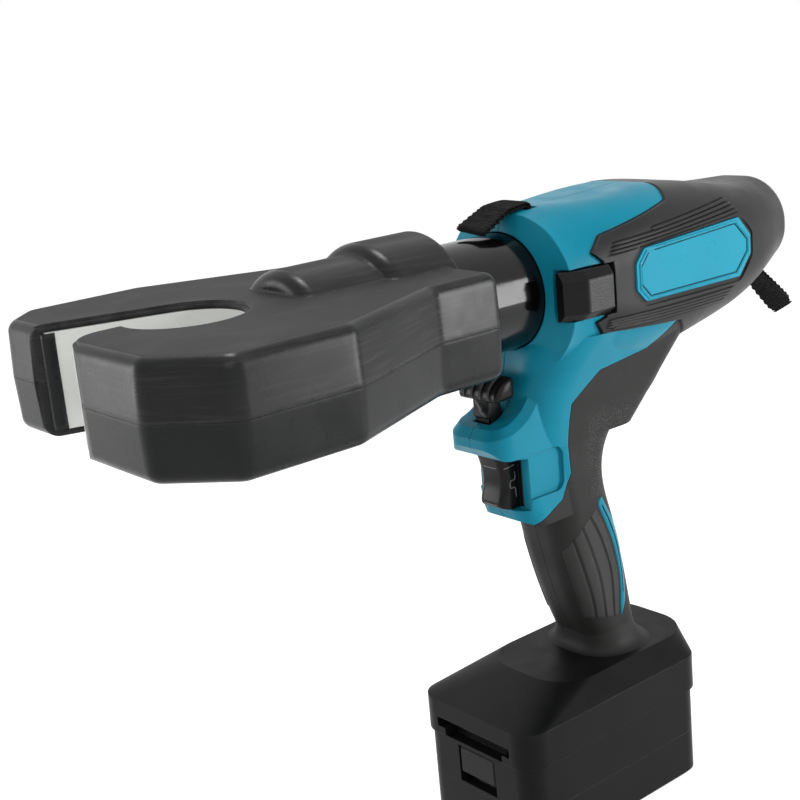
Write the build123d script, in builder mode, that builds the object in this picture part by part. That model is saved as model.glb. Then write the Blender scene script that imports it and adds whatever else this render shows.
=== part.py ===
import os
from math import cos, radians, sin, tan

from build123d import *

os.makedirs("parts", exist_ok=True)

# Battery crimping tool. The origin is the middle of the battery's flat underside, +X points to the
# head, +Y to the user's left and +Z up. Lengths along the tool are measured from the front of the
# housing collar and heights from the tool axis, so that every piece shares the two values below.
AXIS_Z = 255.0
COLLAR_X = 19.0

# Clearances
RUNNING_GAP = 0.06
SLIDE_GAP = 0.4
SEAM = 0.25

# Head, seen from above
HEAD_FRONT = 212.0
HEAD_REAR = 49.5
HEAD_HALF_WIDTH = 77.0
HEAD_HALF_THICK = 21.9
HEAD_FACE_HALF = 51.0
HEAD_SHOULDER_FRONT = 190.5
HEAD_SHOULDER_REAR = 140.0
HEAD_NECK_FRONT = 82.6
HEAD_NECK_HALF = 52.3
ARM_FRONT = 205.5
ARM_FACE_HALF = 62.0
ARM_ROUND = 5.0
COVER_WALL = 4.4
COVER_TOP = 2.8
COVER_REAR_CORNER = 4.0
COVER_EDGE = 5.0
COVER_CORNER = 9.0
COVER_DRAFT = 2.5

# Mouth and round chamber of the head
CHAMBER_X = 161.5
CHAMBER_R = 22.0
HOOK_REACH = 7.0
HOOK_STRAIGHT = 194.0
HOOK_NOSE_Y = 9.5
MOUTH_FLARE = 18.0
MOUTH_LIP = 1.0
RIM_STEP = 1.6
RIM_DEPTH = 1.2

# Humps of the cover over the cylinder
HUMP_FRONT_R = 30.5
HUMP_FRONT_END = 121.5
HUMP_REAR_R = 34.5
HUMP_REAR_END = 83.0
HUMP_EDGE = 6.0

# Hydraulic cylinder and ram
BARREL_R = 26.0
BARREL_END = 104.0
BORE_R = 20.0
BORE_START = 6.0
FLANGE_R = 29.5
FLANGE_FRONT = -34.3
FLANGE_THICK = 5.7
SPIGOT_R = 11.0
SPIGOT_LENGTH = 10.0
PASSAGE_R = 2.5
YOKE_REAR = 92.0
YOKE_HALF_THICK = 18.9
BOSS_R = 28.0
BOSS_FRONT = 108.0
ROD_R = 13.0
RAM_STROKE = 30.0
PISTON_REAR = 9.0
PISTON_LENGTH = 20.0
DIE_THICK = 5.0
DIE_HALF_ANGLE = 10.0
DIE_HALF_HEIGHT = 12.0
SPRING_TURNS = 3
SPRING_WIRE = 3.2

# Body sections: place along the axis, half width, top, bottom, upper and lower corner radius
BODY_HALF_WIDTH = 40.0
GEAR_HALF_WIDTH = 38.6
MOTOR_HALF_WIDTH = 36.0
WAIST_HALF_WIDTH = 30.0
TAIL_HALF_WIDTH = 22.2
TAIL_X = -178.0
COLLAR_FRONT = 1.0
COLLAR_LIP_R = 26.4
COLLAR_CREASE = 4.5
BODY_SECTIONS = (
    (COLLAR_FRONT, BODY_HALF_WIDTH, 33.4, -40.0, 33.0, 37.0),
    (-30.0, BODY_HALF_WIDTH, 35.3, -41.2, 29.0, 33.5),
    (-60.0, BODY_HALF_WIDTH, 36.6, -42.0, 25.0, 30.0),
    (-88.0, GEAR_HALF_WIDTH, 36.6, -37.0, 27.0, 26.0),
    (-118.0, MOTOR_HALF_WIDTH, 31.6, -31.3, 23.0, 23.0),
    (-150.0, WAIST_HALF_WIDTH, 28.0, -22.5, 21.0, 21.0),
    (TAIL_X, TAIL_HALF_WIDTH, 26.0, -15.5, 20.0, 18.0),
)
TAIL_ROUND = 16.0

# Skirt between body and handle: level, rear, front, half width, corner radius
HANDLE_HALF_WIDTH = 18.5
SKIRT_SECTIONS = (
    (-20.0, -100.0, 0.0, 38.0, 24.0),
    (-46.0, -86.0, 5.0, 25.5, 17.0),
    (-72.0, -66.0, 3.0, HANDLE_HALF_WIDTH, 14.0),
)

# Handle and nose
HANDLE_END = -182.0
HANDLE_ROUND = 13.0
HANDLE_FRONT = ((0.0, -40.0), (-5.0, -92.0), (-11.5, -125.0), (-32.0, HANDLE_END))
HANDLE_BACK = (
    (-61.0, HANDLE_END),
    (-47.8, -112.0),
    (-44.3, -86.0),
    (-53.0, -73.0),
    (-67.0, -69.0),
    (-80.0, -61.5),
    (-96.0, -44.0),
)
BACK_TANGENTS = ((0.18, 1.0), (-1.0, 1.2))
OVERRUN = 20.0
CORE_TOP = -34.0
CORE_FRONT = (
    (-1.0, CORE_TOP),
    (-5.5, -92.0),
    (-12.0, -125.0),
    (-32.0, HANDLE_END),
    (-39.0, HANDLE_END - OVERRUN),
)
CORE_BACK = (
    (-64.6, HANDLE_END - OVERRUN),
    (-61.0, HANDLE_END),
    (-45.3, -95.0),
    (-43.8, -83.0),
    (-52.0, -71.0),
    (-68.0, -67.5),
    (-90.0, -46.0),
    (-90.0, CORE_TOP),
)
NOSE_FRONT = 27.5
NOSE_HALF_WIDTH = 17.8
NOSE_TOP = -55.5
NOSE_BOTTOM = -70.5
NOSE_ROUND = 11.0
NOSE_BEVEL = 3.5
NOSE_REAR = -30.0
NOSE_RIDGE = 10.0
NOSE_DROP = 2.5
NOSE_HEEL = 5.0
SCOOP_TOP = -33.0
TRIGGER_WALL = 8.0
CHIN_TOP = -97.4
CHIN_FRONT = 12.6
CHIN_TOE = (10.6, -103.0)
CHIN_REAR = 4.0
CHIN_ROUND = 10.0
CHIN_BOTTOM = -106.0
NEAR = 2.0
GRIP_SKIN = 2.4
CORE_STEP = 6.0
HOUSING_WALL = 2.8
REAR_WALL = 3.0
COLLAR_DEPTH = 28.0

# Controls
BUTTON_REAR = -26.5
BUTTON_HALF_HEIGHT = 10.8
BUTTON_OUT = 43.4
BUTTON_IN = 33.4
BUTTON_TRAVEL = 3.0
BUTTON_FRONT = 1.5
BUTTON_BEVEL = -8.0
BUTTON_SHOULDER = 37.8
BUTTON_CHAMFER = 1.2
TRIGGER_HALF_WIDTH = 8.4
TRIGGER_FRONT = 15.6
TRIGGER_BROW = 1.0
TRIGGER_DIP = 2.5
TRIGGER_TOE = 4.0
TRIGGER_REAR = 1.0
TRIGGER_TOP = -72.4
TRIGGER_BOTTOM = -97.0
TRIGGER_TRAVEL = 6.0
LEVER_HALF_WIDTH = 13.0
LEVER_TOP = -36.3
LEVER_BOTTOM = -44.8
LEVER_FRONT = 20.8
LEVER_REAR = 9.6
LEVER_RIBS = 5
LEVER_SLOPE = 2.4
LEVER_PIVOT_X = 15.0
LEVER_PIVOT_Z = -60.0
LEVER_STEM_HALF = 5.0
LEVER_STEM_SET = 2.5
LEVER_SWING = 5.0
LEVER_KNUCKLE_R = 4.5
LEVER_PIN_R = 1.6
LEVER_PIN_HALF = 13.0
RIB_DEPTH = 1.5
RIB_SHARE = 0.62
TRIGGER_CHAMFER = 2.4
SPLIT_Z = -79.5
SPLIT_RISE = 1.5
SPLIT_BOTTOM = -92.0
SPLIT_FRONT = 3.5
SPLIT_REAR = 4.0
SPLIT_WIDTH = 0.7
SPLIT_DEPTH = 0.6
RECESS_FLOOR = 16.0
RECESS_REAR = -12.0
RECESS_TOP = -71.0
RECESS_BOTTOM = -92.0
RECESS_ROUND = 5.0

# Drive train
SWIVEL_R = 32.5
RIB = 3.0
PUMP_RIB = -46.0
PUMP_R = 30.0
PUMP_REAR = -81.0
GEAR_CASE_R = 28.0
GEAR_CASE_REAR = -112.0
GEAR_CASE_WALL = 3.5
GEAR_MODULE = 1.5
SUN_TEETH = 9
PLANET_TEETH = 9
RING_TEETH = 27
TOOTH_TIP = 0.75
TOOTH_ROOT = 1.1
TOOTH_TIP_SHARE = 0.09
TOOTH_ROOT_SHARE = 0.26
GEAR_FRONT = -94.0
GEAR_REAR = -102.0
PLANET_COUNT = 3
PLANET_PIN_R = 2.5
CARRIER_THICK = 4.0
CARRIER_SHAFT_R = 5.0
CARRIER_FRONT = -68.0
SHAFT_R = 3.0
STATOR_R = 19.0
STATOR_FRONT = -124.0
STATOR_REAR = -154.0
ROTOR_R = 12.4
AIR_GAP = 0.5
ROTOR_SET = 2.0
BEARING_R = 8.0
BEARING_REAR = -168.0
BEARING_WIDTH = 5.0
STATOR_RIB = -140.0
CORNER_SHARE = 0.8

# Switch inside the handle
SWITCH_FRONT = -12.0
SWITCH_REAR = -30.0
SWITCH_TOP = -73.0
SWITCH_BOTTOM = -96.0
STEM_R = 3.0
STEM_LENGTH = 6.0
STEM_Z = (TRIGGER_TOP + TRIGGER_BOTTOM) / 2

# Foot and battery, with heights measured from the battery's underside
BATTERY_LENGTH = 116.0
BATTERY_WIDTH = 72.0
BATTERY_SPLIT = 24.0
BATTERY_TOP = 46.0
BATTERY_CORNER = 10.0
BATTERY_WALL = 2.5
BATTERY_EDGE = 3.0
RAIL_REAR = -48.0
RAIL_FRONT = 52.0
RAIL_NECK_HALF = 19.0
RAIL_HALF = 24.0
RAIL_NECK_TOP = 51.0
RAIL_TOP = 55.0
LATCH_HALF = 12.0
LATCH_DEPTH = 5.0
LATCH_BOTTOM = 30.0
LATCH_TOP = 44.0
LATCH_TRAVEL = 4.0
FOOT_GAP = 0.8
FOOT_OVERHANG = 1.5
FOOT_EDGE = 64.0
FOOT_TOP_LENGTH = 92.0
FOOT_TOP_WIDTH = 56.0
FOOT_TOP_X = -20.0
FOOT_TOP_ROUND = 20.0
FOOT_ROOM_FLOOR = 58.0
FOOT_ROOM_TOP = 66.0
FOOT_ROOM_LENGTH = 70.0
FOOT_ROOM_WIDTH = 46.0
BOARD_THICK = 2.0
WIRE_HOLE_REAR = -36.0
WIRE_HOLE_FRONT = -16.0
WIRE_HOLE_HALF = 8.0
CELL_TOP = 40.0
CELL_CLEAR = 2.0

# Raised sides of the rear cover
BAND_PROUD = 1.8

# Badge and straps
BADGE_DEPTH = 2.2
BADGE_PROUD = 0.8
BADGE_BORDER = 2.2
BADGE_FRONT = -39.5
BADGE_REAR = -127.0
BADGE_FRONT_Y = BODY_HALF_WIDTH + BAND_PROUD + BADGE_PROUD
BADGE_LEAN = 6.0
BADGE_Z = 2.0
BADGE_FRONT_HALF = 11.8
BADGE_REAR_HALF = 14.0
BADGE_CUT = 6.0
BADGE_TAIL_CUT = 9.5
BADGE_ROUND = 2.0
STRAP_WIDTH = 16.0
STRAP_THICK = 2.6
STRAP_SLOT = (-15.0, -8.0)
STRAP_SLOT_FLOOR = 30.0
STRAP_PATH = ((-11.5, STRAP_SLOT_FLOOR), (-11.5, 37.2), (1.5, 36.1), (17.5, 28.9))
TAIL_STRAP_WIDTH = 12.0
TAIL_STRAP_THICK = 3.0
TAIL_SLOT = (-172.0, -166.0)
TAIL_SLOT_TOP = -12.5
TAIL_STRAP_PATH = ((-169.0, TAIL_SLOT_TOP), (-169.0, -17.5), (-201.5, -47.0))
STRAP_BEND = 2.5
SLOT_MARGIN = 1.0

PROFILE = Plane(origin=(COLLAR_X, 0, AXIS_Z), x_dir=(1, 0, 0), z_dir=(0, -1, 0))
TOOL_AXIS = Axis((COLLAR_X, 0, AXIS_Z), (1, 0, 0))
PLAN = Plane(origin=(COLLAR_X, 0, AXIS_Z), x_dir=(1, 0, 0), z_dir=(0, 0, 1))


def station(x):
    """Cross-section plane at x ahead of the collar: local x is +Y, local y is +Z."""
    return Plane(origin=(COLLAR_X + x, 0, AXIS_Z), x_dir=(0, 1, 0), z_dir=(1, 0, 0))


def level(z):
    """Horizontal plane at height z from the tool axis."""
    return Plane(origin=(COLLAR_X, 0, AXIS_Z + z), x_dir=(1, 0, 0), z_dir=(0, 0, 1))


def save(piece, name):
    """Label a finished piece and write its STEP file."""
    piece.part.label = name
    export_step(piece.part, f"parts/{name}.step")
    return piece.part


def rod(x_from, x_to, radius, hole=0.0):
    """A turned length on the tool axis, with an optional through hole."""
    with BuildPart() as turned:
        with BuildSketch(station(x_from)):
            Circle(radius)
            if hole:
                Circle(hole, mode=Mode.SUBTRACT)
        extrude(amount=x_to - x_from)
    return turned.part


# Head


def head_outline(inset):
    """Outline of the head from above, rounded on the outside and sharp where it is set in."""
    with BuildSketch(PLAN) as outline:
        with BuildLine():
            Polyline(
                (HEAD_FRONT, HEAD_FACE_HALF),
                (HEAD_SHOULDER_FRONT, HEAD_HALF_WIDTH),
                (HEAD_SHOULDER_REAR, HEAD_HALF_WIDTH),
                (HEAD_NECK_FRONT, HEAD_NECK_HALF),
                (HEAD_REAR, HEAD_NECK_HALF),
                (HEAD_REAR, -HEAD_NECK_HALF),
                (HEAD_NECK_FRONT, -HEAD_NECK_HALF),
                (HEAD_SHOULDER_REAR, -HEAD_HALF_WIDTH),
                (HEAD_SHOULDER_FRONT, -HEAD_HALF_WIDTH),
                (ARM_FRONT, -ARM_FACE_HALF),
                (ARM_FRONT, -HOOK_REACH - CHAMBER_R),
                (HEAD_FRONT, -HOOK_REACH),
                close=True,
            )
        make_face()
        if inset:
            offset(amount=-inset, kind=Kind.INTERSECTION, mode=Mode.REPLACE)
        else:
            fillet(outline.vertices().sort_by(Axis.X)[2:], COVER_CORNER)
            fillet(outline.vertices().group_by(Axis.X)[0], COVER_REAR_CORNER)
    return outline.sketch


def mouth(grow, plane=PLAN):
    """Round chamber with the mouth that opens forward beside the hook."""
    flare = radians(MOUTH_FLARE)
    tangent = (CHAMBER_X - CHAMBER_R * sin(flare), -CHAMBER_R * cos(flare))
    corner_x = ARM_FRONT - ARM_ROUND
    corner = (corner_x, tangent[1] - (corner_x - tangent[0]) * tan(flare))
    beyond = HEAD_FRONT + COVER_CORNER
    with BuildSketch(plane) as opening:
        with BuildLine():
            edge = Line((CHAMBER_X, -HOOK_REACH), (HOOK_STRAIGHT, -HOOK_REACH))
            curl = TangentArc(edge @ 1, (HEAD_FRONT, HOOK_NOSE_Y), tangent=edge % 1)
            wall = Line(tangent, corner)
            bend = TangentArc(wall @ 1, (ARM_FRONT, corner[1] - ARM_ROUND), tangent=wall % 1)
            Polyline(
                curl @ 1,
                (beyond, HOOK_NOSE_Y + COVER_CORNER),
                (beyond, corner[1] - ARM_ROUND),
                bend @ 1,
            )
            Line(tangent, edge @ 0)
        make_face()
        with Locations((CHAMBER_X, 0)):
            Circle(CHAMBER_R)
        if grow:
            offset(amount=grow, mode=Mode.REPLACE)
    return opening.sketch


def hump(end, radius):
    """Round hump over the cylinder with a rolled front edge."""
    with BuildPart() as form:
        with BuildSketch(station(HEAD_REAR)):
            Circle(radius)
        extrude(amount=end - HEAD_REAR)
        fillet(form.edges().filter_by(GeomType.CIRCLE).sort_by(Axis.X)[-1], HUMP_EDGE)
        split(bisect_by=PLAN, keep=Keep.TOP)
    return form.part


def cover_half():
    """Upper half of the head cover: drafted shell, humps, mouth and cavity."""
    hollow = HEAD_HALF_THICK - COVER_TOP
    with BuildPart() as cover:
        extrude(head_outline(0), amount=HEAD_HALF_THICK, taper=COVER_DRAFT)
        fillet(cover.faces().sort_by(Axis.Z)[-1].edges(), COVER_EDGE)
        extrude(mouth(MOUTH_LIP), amount=HEAD_HALF_THICK, mode=Mode.SUBTRACT)
        rim_floor = level(HEAD_HALF_THICK - RIM_DEPTH)
        extrude(mouth(MOUTH_LIP + RIM_STEP, rim_floor), amount=RIM_DEPTH, mode=Mode.SUBTRACT)
        add(hump(HUMP_FRONT_END, HUMP_FRONT_R))
        add(hump(HUMP_REAR_END, HUMP_REAR_R))
        extrude(head_outline(COVER_WALL), amount=hollow, mode=Mode.SUBTRACT)
        add(rod(HEAD_REAR + COVER_WALL, BOSS_FRONT + SEAM, BOSS_R + SEAM), mode=Mode.SUBTRACT)
        add(rod(HEAD_REAR, HEAD_REAR + COVER_WALL, BARREL_R + SEAM), mode=Mode.SUBTRACT)
    return cover.part


upper_form = cover_half()
with BuildPart() as head_cover_upper:
    add(upper_form)
save(head_cover_upper, "head_cover_upper")

with BuildPart() as head_cover_lower:
    add(mirror(upper_form, about=PLAN, mode=Mode.PRIVATE))
save(head_cover_lower, "head_cover_lower")


def die_sector(inner, outer, half_angle):
    """Ring sector about the chamber's centre, facing back along the tool axis."""
    with BuildSketch(PLAN) as sector:
        with BuildLine():
            face = CenterArc((CHAMBER_X, 0), inner, -half_angle, 2 * half_angle)
            back = CenterArc((CHAMBER_X, 0), outer, -half_angle, 2 * half_angle)
            Line(face @ 0, back @ 0)
            Line(face @ 1, back @ 1)
        make_face()
    return sector.sketch


with BuildPart() as anvil_die:
    extrude(die_sector(CHAMBER_R, CHAMBER_R + DIE_THICK, DIE_HALF_ANGLE), amount=DIE_HALF_HEIGHT, both=True)
save(anvil_die, "anvil_die")

with BuildPart() as head_yoke:
    extrude(head_outline(COVER_WALL + SEAM), amount=YOKE_HALF_THICK, both=True)
    split(bisect_by=station(YOKE_REAR), keep=Keep.TOP)
    add(rod(YOKE_REAR, BOSS_FRONT, BOSS_R))
    extrude(mouth(0), amount=HEAD_HALF_THICK, both=True, mode=Mode.SUBTRACT)
    add(rod(YOKE_REAR, BARREL_END, BARREL_R), mode=Mode.SUBTRACT)
    add(rod(BARREL_END, CHAMBER_X, ROD_R + RUNNING_GAP), mode=Mode.SUBTRACT)
    add(anvil_die.part, mode=Mode.SUBTRACT)
save(head_yoke, "head_yoke")

FLANGE_REAR = FLANGE_FRONT - FLANGE_THICK
SPIGOT_REAR = FLANGE_REAR - SPIGOT_LENGTH
with BuildPart() as cylinder_barrel:
    add(rod(FLANGE_FRONT, BARREL_END, BARREL_R))
    add(rod(FLANGE_REAR, FLANGE_FRONT, FLANGE_R))
    add(rod(SPIGOT_REAR, FLANGE_REAR, SPIGOT_R))
    add(rod(BORE_START, BARREL_END, BORE_R), mode=Mode.SUBTRACT)
    add(rod(SPIGOT_REAR, BORE_START, PASSAGE_R), mode=Mode.SUBTRACT)
save(cylinder_barrel, "cylinder_barrel")

# Ram

PISTON_FRONT = PISTON_REAR + PISTON_LENGTH
with BuildPart() as ram_piston:
    add(rod(PISTON_REAR, PISTON_FRONT, BORE_R - RUNNING_GAP))
    add(rod(PISTON_FRONT, CHAMBER_X, ROD_R))
    with BuildSketch(PLAN):
        with Locations((CHAMBER_X, 0)):
            Circle(CHAMBER_R + DIE_THICK)
    extrude(amount=HEAD_HALF_THICK, both=True, mode=Mode.SUBTRACT)
save(ram_piston, "ram_piston")

with BuildPart() as ram_die:
    add(rod(PISTON_FRONT, CHAMBER_X, ROD_R))
    with BuildSketch(PLAN):
        with Locations((CHAMBER_X, 0)):
            Circle(CHAMBER_R + DIE_THICK)
            Circle(CHAMBER_R, mode=Mode.SUBTRACT)
    extrude(amount=HEAD_HALF_THICK, both=True, mode=Mode.INTERSECT)
save(ram_die, "ram_die")

SPRING_R = (BORE_R + ROD_R) / 2
SPRING_LENGTH = BARREL_END - PISTON_FRONT - 2 * SPRING_WIRE
SPRING_START = station(PISTON_FRONT + SPRING_WIRE)
with BuildPart() as return_spring:
    with BuildLine():
        coil = Helix(
            pitch=SPRING_LENGTH / SPRING_TURNS,
            height=SPRING_LENGTH,
            radius=SPRING_R,
            center=SPRING_START.origin,
            direction=SPRING_START.z_dir,
        )
    with BuildSketch(Plane(coil @ 0, z_dir=coil % 0)):
        Rectangle(SPRING_WIRE, SPRING_WIRE)
    sweep(is_frenet=True)
save(return_spring, "return_spring")

# Body forms


def collar_cone():
    """Everything behind the shallow cone that faces the front of the collar."""
    slope = COLLAR_CREASE / (BODY_HALF_WIDTH - COLLAR_LIP_R)
    wide = 2 * BODY_HALF_WIDTH
    with BuildPart() as cone:
        with BuildSketch(PROFILE):
            with BuildLine():
                Polyline(
                    (COLLAR_FRONT, 0),
                    (COLLAR_FRONT, COLLAR_LIP_R),
                    (COLLAR_FRONT - slope * (wide - COLLAR_LIP_R), wide),
                    (TAIL_X - wide, wide),
                    (TAIL_X - wide, 0),
                    close=True,
                )
            make_face()
        revolve(axis=TOOL_AXIS)
    return cone.part


def barrel_form(side_grow=0.0):
    """Long body from the collar to the rounded tail, with sides that can stand out ahead of the tail."""
    with BuildPart() as form:
        for x, half_width, top, bottom, upper, lower in BODY_SECTIONS:
            out = half_width if x == TAIL_X else half_width + side_grow
            with BuildSketch(station(x)) as section:
                with Locations((0, (top + bottom) / 2)):
                    Rectangle(2 * out, top - bottom)
                fillet(section.vertices().group_by(Axis.Y)[-1], upper)
                fillet(section.vertices().group_by(Axis.Y)[0], lower)
        loft()
        fillet(form.faces().sort_by(Axis.X)[0].edges(), TAIL_ROUND)
        add(collar_cone(), mode=Mode.INTERSECT)
    return form.part


def barrel_room(wall):
    """Flat-sided room inside the long body, a wall away from it."""
    with BuildPart() as room:
        for x, half_width, top, bottom, upper, lower in BODY_SECTIONS:
            at_tail = x == TAIL_X
            inset = wall + TAIL_ROUND / 3 if at_tail else wall
            place = x + inset if at_tail else x
            with BuildSketch(station(place)) as section:
                with Locations((0, (top + bottom) / 2)):
                    Rectangle(2 * (half_width - inset), top - bottom - 2 * inset)
                chamfer(section.vertices().group_by(Axis.Y)[-1], CORNER_SHARE * (upper - inset))
                chamfer(section.vertices().group_by(Axis.Y)[0], CORNER_SHARE * (lower - inset))
        loft(ruled=True)
    return room.part


def skirt_form():
    """Flare that leads from the wide body into the narrow handle."""
    with BuildPart() as form:
        for height, rear, front, half_width, corner in SKIRT_SECTIONS:
            with BuildSketch(level(height)):
                with Locations(((rear + front) / 2, 0)):
                    RectangleRounded(front - rear, 2 * half_width, corner)
        loft()
    return form.part


def skirt_room(wall):
    """Flat-sided room inside the flare, a wall away from it."""
    with BuildPart() as room:
        for height, rear, front, half_width, corner in SKIRT_SECTIONS:
            with BuildSketch(level(height)) as section:
                with Locations(((rear + front) / 2, 0)):
                    Rectangle(front - rear - 2 * wall, 2 * (half_width - wall))
                chamfer(section.vertices(), CORNER_SHARE * (corner - wall))
        loft(ruled=True)
    return room.part


def handle_form():
    """Raked handle with the tang that the hand hangs under."""
    with BuildPart() as form:
        with BuildSketch(PROFILE):
            with BuildLine():
                front = Spline(*HANDLE_FRONT)
                back = Spline(*HANDLE_BACK, tangents=BACK_TANGENTS)
                Line(front @ 1, back @ 0)
                Line(back @ 1, front @ 0)
            make_face()
        extrude(amount=HANDLE_HALF_WIDTH, both=True)
        long_edges = form.faces().filter_by(Axis.Y).edges().filter_by(GeomType.BSPLINE)
        fillet(long_edges, HANDLE_ROUND)
    return form.part


def handle_section(inset):
    """Side view of the handle's straight-sided core, set in from the handle's front and back."""
    with BuildSketch(PROFILE) as outline:
        with BuildLine():
            Polyline(*CORE_FRONT, *CORE_BACK, close=True)
        make_face()
        offset(amount=-inset, kind=Kind.INTERSECTION, mode=Mode.REPLACE)
    return outline.sketch


def handle_core(inset, half_width):
    """Straight-sided block inside the handle."""
    with BuildPart() as form:
        extrude(handle_section(inset), amount=half_width, both=True)
    return form.part


def nose_form():
    """Front of the lower body: scooped under the barrel, blunt nose, trigger gap and chin."""
    with BuildPart() as form:
        with BuildSketch(PROFILE):
            with BuildLine():
                ridge = Line((NOSE_FRONT, NOSE_TOP - NOSE_DROP), (NOSE_FRONT - NOSE_RIDGE, NOSE_TOP))
                scoop = TangentArc(ridge @ 1, (COLLAR_FRONT, SCOOP_TOP), tangent=ridge % 1)
                Polyline(
                    scoop @ 1,
                    (NOSE_REAR, SCOOP_TOP),
                    (NOSE_REAR, CHIN_BOTTOM),
                    (CHIN_REAR, CHIN_BOTTOM),
                    CHIN_TOE,
                    (CHIN_FRONT, CHIN_TOP),
                    (TRIGGER_WALL, CHIN_TOP),
                    (TRIGGER_WALL, NOSE_BOTTOM - NOSE_DROP),
                    (NOSE_FRONT - NOSE_HEEL, NOSE_BOTTOM),
                    (NOSE_FRONT, NOSE_BOTTOM + NOSE_HEEL),
                    ridge @ 0,
                )
            make_face()
        extrude(amount=NOSE_HALF_WIDTH, both=True)
        corners = form.faces().filter_by(Axis.Y).edges()
        fillet(corners.filter_by(lambda e: e.center().X > COLLAR_X + NOSE_FRONT - NEAR), NOSE_ROUND)
        chin_middle = AXIS_Z + (CHIN_TOP + CHIN_TOE[1]) / 2
        chin = form.edges().filter_by(Axis.Y, reverse=True)
        chin = chin.filter_by(lambda e: abs(e.center().Z - chin_middle) < NEAR)
        fillet(chin.filter_by(lambda e: e.center().X > COLLAR_X + TRIGGER_WALL), CHIN_ROUND)
        lowest = AXIS_Z + NOSE_TOP - 2 * NEAR
        rims = form.edges().filter_by(lambda e: lowest < e.center().Z < AXIS_Z + SCOOP_TOP - NEAR / 2)
        across = rims.filter_by(Axis.Y).filter_by(lambda e: e.center().X < COLLAR_X + NOSE_FRONT - NEAR)
        chamfer(rims - across, NOSE_BEVEL)
    return form.part


with BuildPart() as outer_form:
    add(barrel_form())
    add(skirt_form())
    add(handle_form())
    add(nose_form())
outer_body = outer_form.part

CORE_HALF_WIDTH = HANDLE_HALF_WIDTH - GRIP_SKIN
ROOM_HALF_WIDTH = CORE_HALF_WIDTH - CORE_STEP - HOUSING_WALL
with BuildPart() as core_form:
    add(barrel_room(GRIP_SKIN))
    add(skirt_room(GRIP_SKIN))
    add(handle_core(GRIP_SKIN, CORE_HALF_WIDTH - CORE_STEP))
    add(handle_core(GRIP_SKIN + CORE_STEP, CORE_HALF_WIDTH))
core_body = core_form.part

SHELL = GRIP_SKIN + HOUSING_WALL
inner_barrel = barrel_room(SHELL)
with BuildPart() as inner_form:
    add(inner_barrel)
    add(skirt_room(SHELL))
    add(handle_core(SHELL, ROOM_HALF_WIDTH))
inner_body = inner_form.part


def side_region(points, grow):
    """A side-view region of the body as a thick slab, used to part one moulding from the next."""
    with BuildPart() as region:
        with BuildSketch(PROFILE):
            with BuildLine():
                Polyline(*points, close=True)
            make_face()
            if grow:
                offset(amount=grow, mode=Mode.REPLACE)
        extrude(amount=2 * BODY_HALF_WIDTH, both=True)
    return region.part


# Where rear cover, grip and housing meet, in side view
BAND_NECK = (-21.6, 12.2)
BAND_TIP = (-17.6, 16.0)
BAND_SHOULDER = (-25.0, 22.3)
HOOD_TIP = (-72.7, 30.4)
HOOD_TOP = (-80.0, 37.5)
WEB_TIP = (-72.0, -23.5)
WEB_END = (-116.0, -60.0)
BAND_HEEL = (-21.0, -19.5)
BAND_TOE = (-16.4, -13.8)
BEHIND = TAIL_X - OVERRUN
ABOVE = 2 * BODY_HALF_WIDTH
REAR_POINTS = (
    BAND_NECK,
    BAND_TIP,
    BAND_SHOULDER,
    HOOD_TIP,
    HOOD_TOP,
    (HOOD_TOP[0], ABOVE),
    (BEHIND, ABOVE),
    (BEHIND, WEB_END[1]),
    WEB_END,
    WEB_TIP,
    BAND_HEEL,
    BAND_TOE,
    (BAND_NECK[0], -BAND_NECK[1]),
)
GRIP_POINTS = (
    WEB_TIP,
    (-58.0, -35.0),
    (-28.0, -39.0),
    (-14.0, -52.0),
    (-16.0, -86.0),
    (-10.0, -97.0),
    (10.0, -107.0),
    (NOSE_FRONT, -110.0),
    (NOSE_FRONT, HANDLE_END - OVERRUN),
    (WEB_END[0] - OVERRUN, HANDLE_END - OVERRUN),
    (WEB_END[0] - OVERRUN, WEB_END[1]),
    WEB_END,
)

# Housing halves


def cradle(x, thickness, radius, form):
    """Rib across the body that carries a round piece of the drive train."""
    with BuildPart() as rib:
        add(rod(x, x + thickness, 2 * BODY_HALF_WIDTH))
        add(form, mode=Mode.INTERSECT)
        add(rod(x, x + thickness, radius), mode=Mode.SUBTRACT)
    return rib.part


def button_form():
    """Side button seen from above: flat pad, bevelled towards the collar."""
    with BuildPart() as form:
        with BuildSketch(PLAN):
            with BuildLine():
                Polyline(
                    (BUTTON_REAR, BUTTON_IN),
                    (BUTTON_REAR, BUTTON_OUT),
                    (BUTTON_BEVEL, BUTTON_OUT),
                    (BUTTON_FRONT, BUTTON_SHOULDER),
                    (BUTTON_FRONT, BUTTON_IN),
                    close=True,
                )
            make_face()
        extrude(amount=BUTTON_HALF_HEIGHT, both=True)
    return form.part


def pocket(x_from, x_to, half_width, z_from, z_to):
    """Block on the middle plane, given by its side-view corners and its half width."""
    with BuildPart() as block:
        with BuildSketch(level(z_from)):
            with Locations(((x_from + x_to) / 2, 0)):
                Rectangle(x_to - x_from, 2 * half_width)
        extrude(amount=z_to - z_from)
    return block.part


def button_pocket(side):
    """Room for a side button and its travel, open to the outside."""
    floor = BUTTON_IN - BUTTON_TRAVEL - SLIDE_GAP
    with BuildPart() as room:
        with BuildSketch(PROFILE.offset(-side * floor)):
            with Locations(((BUTTON_REAR + BUTTON_FRONT) / 2, 0)):
                length = BUTTON_FRONT - BUTTON_REAR + 2 * SLIDE_GAP
                Rectangle(length, 2 * (BUTTON_HALF_HEIGHT + SLIDE_GAP))
        extrude(amount=-side * floor)
    return room.part


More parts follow.
